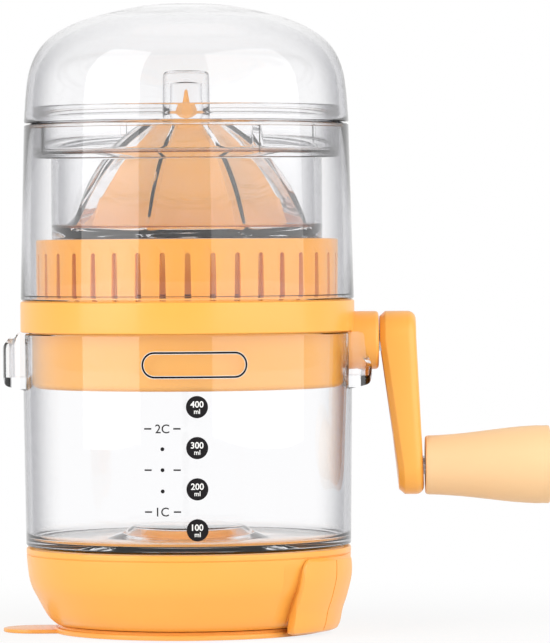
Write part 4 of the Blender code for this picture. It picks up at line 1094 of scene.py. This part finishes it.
# ---------------------------------------------------------------- clear covers
@dataclass
class Covers:
    """The clear sleeve, the fluted press cup inside it and the domed lid."""

    shop: Workshop
    lid_rows: tuple[Point, ...] = (
        (0.0, 1.0), (0.14, 0.992), (0.30, 0.972), (0.53, 0.905), (0.66, 0.85), (0.77, 0.78), (0.86, 0.69), (0.925, 0.575), (0.965, 0.44),
        (0.985, 0.28), (1.0, 0.02),
    )
    dome_out: tuple[Corner, ...] = (
        (0.315, 33.1, 0.10), (0.50, 28.3, 0.12), (0.65, 22.6, 0.13), (0.785, 15.2, 0.12), (0.87, 8.0, 0.08), (0.905, 3.2, 0.0),
    )  # (share of the cup's radius, height, flute depth)
    dome_in: tuple[Corner, ...] = (
        (0.93, 0.0, 0.0), (0.86, 2.4, 0.05), (0.805, 8.0, 0.08), (0.725, 14.4, 0.10), (0.60, 21.0, 0.09), (0.45, 26.4, 0.12), (0.26, 31.0, 0.08),
        (0.165, 35.6, 0.0), (0.125, 40.0, 0.0), (0.115, 49.6, 0.0),
    )
    knob_r: float = 7.35
    rib_at: float = -63.0

    def __post_init__(self) -> None:
        """Take the places from the CAD."""
        self.rim_r = edges_of("juice_cup")[1].y
        low, high = edges_of("cover_sleeve")
        self.sleeve_z, self.sleeve_top, self.sleeve_r = low.z, high.z, high.y
        self.flange_z = self.sleeve_top - 0.9

    def sleeve(self) -> None:
        """The clear wall that stands on the housing's ring."""
        low_r, top_r, z, top = self.sleeve_r, self.rim_r - 0.9, self.sleeve_z, self.sleeve_top
        spigot, spigot_top = self.rim_r - 2.2, edges_of("housing")[1].z
        section = [
            (top_r - 1.0, top, 0.3), (top_r, top, 0.5), (low_r, z + 0.5, 0.3), (low_r - 0.4, z, 0.2), (spigot + GAP, z, 0.2),
            (spigot + GAP, spigot_top + 0.5, 0.3), (spigot - 0.2, spigot_top + 0.5, 0.3), (top_r - CLEAR_WALL, self.flange_z - GAP, 0.2),
            (top_r - 1.0, self.flange_z - GAP, 0.1),
        ]
        self.shop.dress(turned("sleeve_wall", softened(section, 4)), self.shop.finishes.clear, "sleeve", "clear_plastic", ["cover_sleeve"])

    def press(self) -> None:
        """The press cup: a fluted dome with a hollow knob, in a stepped cup with a collar."""
        low, high = edges_of("press_cup")
        z, foot, flange_r = self.sleeve_top - 35.9, low.z, high.y
        skirt, r, knob, fz = flange_r - 1.4, self.rim_r - 9.5, self.knob_r, self.flange_z
        step, collar = fz - 10.5, fz + 6.6

        def soft(rows: Sequence[Corner], arc: int = 4) -> list[Corner]:
            """Rounded corners, with no fluting."""
            return [(u, v, 0.0) for u, v in softened([(0, rows[0][1], 0), *rows, (0, rows[-1][1], 0)], arc)][1:-1]

        knob_line = [(u, v, 0.0) for u, v in softened([(0, z + 53.3, 0), (knob, z + 53.3, 1.9), (knob + 0.2, z + 37.4, 0)], 6)]
        wall = soft(
            [(r - CLEAR_WALL, z + 3.0, 1.2), (r - CLEAR_WALL, step + CLEAR_WALL, 1.4), (skirt - 1.6, step + CLEAR_WALL, 1.4), (skirt - 1.6, collar, 0.5),
             (skirt, collar, 0.6), (skirt, fz + 1.2, 0.2), (skirt + 1.4, fz + 1.2, 0.4), (skirt + 1.4, fz, 0.4), (skirt, fz, 0.2), (skirt, step, 0.8),
             (r, step, 0.6), (r, foot, 0.8), (r - CLEAR_WALL, foot, 0.8), (r - CLEAR_WALL, z - 0.3, 0.4)])
        rows = (
            knob_line[:-1]
            + [(knob + 0.2, z + 37.4, 0.0)]
            + flow3([(a * r, z + h, d) for a, h, d in self.dome_out], 5)
            + wall
            + flow3([(a * r, z + h, d) for a, h, d in self.dome_in], 4)
            + [(0.0, z + 50.6, 0.0)]
        )
        press = fluted("press", rows)
        grooves = []
        for i in range(4):
            across = [(-1.2, step + 1.2), (1.2, step + 1.2), (1.2, fz - 0.4), (-1.2, fz - 0.4)]
            grooves.append(slab("rib_tool", across, skirt - 0.7, skirt + 0.6, Plane.YZ, self.rib_at + 90 * i))
        carve(press, joined("rib_tools", grooves))
        self.shop.dress(press, self.shop.finishes.clear, "press", "clear_plastic", ["press_cup"])

    def lid(self) -> None:
        """The domed lid."""
        low, high = edges_of("dome_lid")
        z, r, tall = low.z, high.y, high.z - low.z
        inner = r - CLEAR_WALL
        outside = flowing([(a * r, z + h * tall) for a, h in self.lid_rows], 6)
        inside = flowing([(a * inner, z + h * (tall - CLEAR_WALL)) for a, h in reversed(self.lid_rows[:-1])], 6)
        section = outside[:-1] + [(r, z + 0.5), (r - 0.15, z + 0.15), (r - 0.5, z), (inner + 0.3, z), (inner, z + 0.3)] + inside
        self.shop.dress(turned("lid_dome", section), self.shop.finishes.clear, "lid", "clear_plastic", ["dome_lid"])

    def build(self) -> None:
        """Build every piece."""
        self.sleeve()
        self.press()
        self.lid()


# ---------------------------------------------------------------- crank
@dataclass
class Crank:
    """The crank arm and its turning grip."""

    shop: Workshop
    blade: float = 8.0
    lean: float = 2.0
    round_over: float = 2.6
    shaft_r: float = 3.5
    axle_r: float = 3.0
    grip_rows: tuple[Point, ...] = ((0.94, 0.99), (0.88, 1.0), (0.70, 0.83), (0.50, 0.52), (0.30, 0.22), (0.12, 0.04), (0.03, 0.0))

    def __post_init__(self) -> None:
        """Take the places from the CAD."""
        low, high = edges_of("crank_arm")
        self.hub_r = high.y
        self.axis_z, self.grip_z = frame_axis("crank_spin"), frame_axis("grip_spin")
        self.near, self.out = low.x, low.x + 11.6
        self.shaft_end = edges_of("crank_shaft")[1].x

    def arm(self) -> None:
        """The arm: a leaning blade with a round outer edge, thicker towards the shaft on its inner side."""
        throw = self.axis_z - self.grip_z
        outer, over = self.out, self.round_over
        swell = outer - self.blade - self.near

        def ring(x: float, inset: float, thicken: float) -> list[list[float]]:
            """The blade's outline at x, drawn in by inset and pushed inwards by thicken at the shaft."""
            points = []
            for y, z in stadium(self.hub_r - inset, self.axis_z, self.grip_z, 20):
                down = (self.axis_z - z) / throw
                near_shaft = min(1.0, max(0.0, 1.0 - down))
                points.append([x + self.lean * max(0.0, down) - thicken * near_shaft, y, z])
            return points

        inner = outer - self.blade
        bevel = ((0.0, 1.7), (0.15, 1.5), (1.5, 0.3), (1.75, 0.05), (2.0, 0.0))  # (distance from the inner face, inset)
        rings = [ring(inner + step, inset, swell) for step, inset in bevel]
        rings += [ring(outer - over + over * math.sin(math.pi / 12 * i), over * (1 - math.cos(math.pi / 12 * i)), 0.0) for i in range(7)]
        arm = stacked("arm", rings)
        end = self.shaft_end + 0.2
        bore = turned("bore_tool", [(0, outer + 1), (3.4, outer + 1), (3.4, outer - 2.2), (1.8, outer - 2.2), (1.8, end), (self.shaft_r + 0.1, end),
                                    (self.shaft_r + 0.1, self.near - 1), (0, self.near - 1)], FINE, axis=Axis.ALONG_X, height=self.axis_z)
        axle = turned("axle_tool", [(0, outer + 4), (self.axle_r + 0.1, outer + 4), (self.axle_r + 0.1, inner + 3.0), (0, inner + 3.0)], FINE,
                      axis=Axis.ALONG_X, height=self.grip_z)
        carve(arm, bore, axle)
        self.shop.dress(arm, self.shop.finishes.shell, "crank", "orange_shell", ["crank_arm"])

    def grip(self) -> None:
        """The flared grip, turned on its axle."""
        low, high = edges_of("crank_grip")
        x, length, thick, thin = low.x, high.x - low.x, high.y, 9.45
        hole = self.axle_r + 0.1
        deep = edges_of("grip_axle")[1].x + 0.4
        end_r = thin + 0.86 * (thick - thin)
        outside = flowing([(thin + (thick - thin) * swell, x + length * along) for along, swell in self.grip_rows], 6)
        section = (
            softened([(0, x + length, 0), (end_r + 0.5, x + length, 3.0), (thick - 0.02, x + 0.955 * length, 0)], 7)[:-1]
            + outside
            + [(thin - 0.15, x + 0.35), (thin - 0.6, x), (hole, x), (hole, deep), (0, deep)]
        )
        grip = turned("grip_handle", section, 96, axis=Axis.ALONG_X, height=self.grip_z)
        self.shop.dress(grip, self.shop.finishes.cream, "grip", "cream_plastic", ["crank_grip"])

    def build(self) -> None:
        """Build every piece."""
        self.arm()
        self.grip()


# ---------------------------------------------------------------- carried-over parts and the studio
def dress_frame(finishes: Finishes) -> None:
    """Give every CAD node that still shows its finish, by what it is made of."""
    by_slot = {
        "orange_shell": finishes.shell, "orange_food_plastic": finishes.food, "cream_plastic": finishes.cream, "clear_plastic": finishes.clear,
        "suction_rubber": finishes.pad, "seal_rubber": finishes.seal, "bearing_nylon": finishes.nylon, "shaft_steel": finishes.steel,
        "spring_wire": finishes.spring, "screws": finishes.screw,
    }
    made_of = {entry["node"]: entry["material_slot"] for entry in frame["record"]["subparts"]}
    for name, node in frame["nodes"].items():
        if node.hide_render:
            continue
        node.data.materials.clear()
        node.data.materials.append(by_slot[made_of[name]])
        LOG.info("%s keeps its CAD mesh", name)


@dataclass
class Studio:
    """A white sweep, two tall soft boxes and the camera."""

    distance: float = 1.6
    eye: float = 0.125
    aim: tuple[float, float] = (0.028, 0.0987)
    lens: float = 280.0
    roll: float = -0.35
    ambient: float = 0.50
    left_power: float = 2.7
    right_power: float = 1.85
    box_reach: float = 0.72
    box_tall: float = 1.1
    box_middle: float = 0.56
    shadow_from: float = 0.07
    shadow_to: float = 0.26
    floor_glow: float = 0.86

    def world(self) -> None:
        """White behind everything that is looked at, and a dimmer room for what is only lit or mirrored."""
        world = bpy.data.worlds.new("studio")
        bpy.context.scene.world = world
        graph = Graph(world)
        path = graph.node("ShaderNodeLightPath")
        seen = Value(graph, path.outputs["Is Camera Ray"]).largest(path.outputs["Is Transmission Ray"])
        way = graph.value("ShaderNodeTexCoord", out="Generated")
        split = graph.node("ShaderNodeSeparateXYZ", {}, {0: way})
        behind = graph.value("ShaderNodeMapRange", {"interpolation_type": "SMOOTHSTEP"}, {0: split.outputs["Y"], 1: -0.2, 2: 0.5, 3: 0.38, 4: 1.0})
        mirrored = Value(graph, path.outputs["Is Glossy Ray"])
        level = mirrored * behind + (1 - mirrored) * self.ambient
        level = seen + (1 - seen) * level
        shade = graph.node("ShaderNodeBackground", {}, {"Color": (1, 1, 1, 1), "Strength": level})
        graph.node("ShaderNodeOutputWorld", {}, {"Surface": shade.outputs[0]})

    def soft_box(self, name: str, azimuth: float, width: float, tall: float, reach: float, centre_z: float, level: float) -> None:
        """An upright area lamp that faces the juicer.

        Args:
            name: the lamp's name.
            azimuth: its place round the juicer from the front, positive to the right, in degrees.
            width: its width.
            tall: its height.
            reach: how far off it stands.
            centre_z: the height of its middle.
            level: how bright its face is, where 1 is white.
        """
        lamp = bpy.data.lights.new(name, "AREA")
        lamp.shape = "RECTANGLE"
        lamp.size, lamp.size_y = width, tall
        lamp.energy = level * math.pi * width * tall
        obj = bpy.data.objects.new(name, lamp)
        bpy.context.scene.collection.objects.link(obj)
        turn = math.radians(azimuth)
        obj.location = (reach * math.sin(turn), -reach * math.cos(turn), centre_z)
        obj.rotation_euler = (Vector((0, 0, centre_z)) - obj.location).to_track_quat("-Z", "Y").to_euler()
        obj.visible_camera = False
        obj.visible_transmission = False

    def lamps(self) -> None:
        """The two boxes in front."""
        for name, azimuth, width, power in (("box_left", -53.0, 0.57, self.left_power), ("box_right", 52.0, 1.0, self.right_power)):
            self.soft_box(name, azimuth, width, self.box_tall, self.box_reach, self.box_middle, power)

    def floor(self) -> None:
        """A pale floor that keeps a faint shadow."""
        clear_selection()
        bpy.ops.mesh.primitive_plane_add(size=12.0, location=(0, 0, -0.0002))
        floor = bpy.context.object
        floor.name = "floor"
        material = bpy.data.materials.new("floor_white")
        graph = Graph(material)
        path = graph.node("ShaderNodeLightPath")
        seen = Value(graph, path.outputs["Is Camera Ray"]).largest(path.outputs["Is Glossy Ray"])
        seen = seen.largest(path.outputs["Is Transmission Ray"])
        matt = graph.value("ShaderNodeBsdfDiffuse", {}, {"Color": (0.86, 0.86, 0.86, 1)})
        white = graph.value("ShaderNodeEmission", {}, {"Color": (1, 1, 1, 1), "Strength": 1.0})
        away = graph.value("ShaderNodeVectorMath", {"operation": "LENGTH"}, {0: graph.place()}, "Value")
        ramp = {0: away, 1: self.shadow_from, 2: self.shadow_to, 3: self.floor_glow, 4: 1.0}
        share = graph.value("ShaderNodeMapRange", {"interpolation_type": "SMOOTHSTEP"}, ramp)
        graph.surface(graph.value("ShaderNodeMixShader", {}, {0: seen * share, 1: matt, 2: white}))
        floor.data.materials.append(material)

    def camera(self) -> None:
        """The camera, level with the strainer."""
        data = bpy.data.cameras.new("camera")
        data.lens, data.sensor_width, data.sensor_fit = self.lens, 36.0, "AUTO"
        obj = bpy.data.objects.new("camera", data)
        bpy.context.scene.collection.objects.link(obj)
        obj.location = (self.aim[0], -self.distance, self.eye)
        target = Vector((self.aim[0], 0, self.aim[1]))
        facing = (target - obj.location).to_track_quat("-Z", "Y").to_matrix().to_4x4()
        obj.rotation_euler = (facing @ Matrix.Rotation(math.radians(self.roll), 4, "Z")).to_euler()
        bpy.context.scene.camera = obj

    def build(self) -> None:
        """Set the studio up."""
        self.world()
        self.lamps()
        self.floor()
        self.camera()
        scene = bpy.context.scene
        scene.view_settings.view_transform = "Standard"
        scene.cycles.max_bounces = 24
        scene.cycles.transmission_bounces = 24
        scene.cycles.transparent_max_bounces = 32


def main() -> None:
    """Build the juicer and its studio."""
    logging.basicConfig(level=logging.INFO, format="%(name)s: %(message)s")
    finishes = Finishes()
    shop = Workshop(finishes)
    for part in (SuctionBase(shop), JuiceCup(shop), Housing(shop), Covers(shop), Crank(shop)):
        part.build()
    dress_frame(finishes)
    Studio().build()


if __name__ == "__main__":
    main()
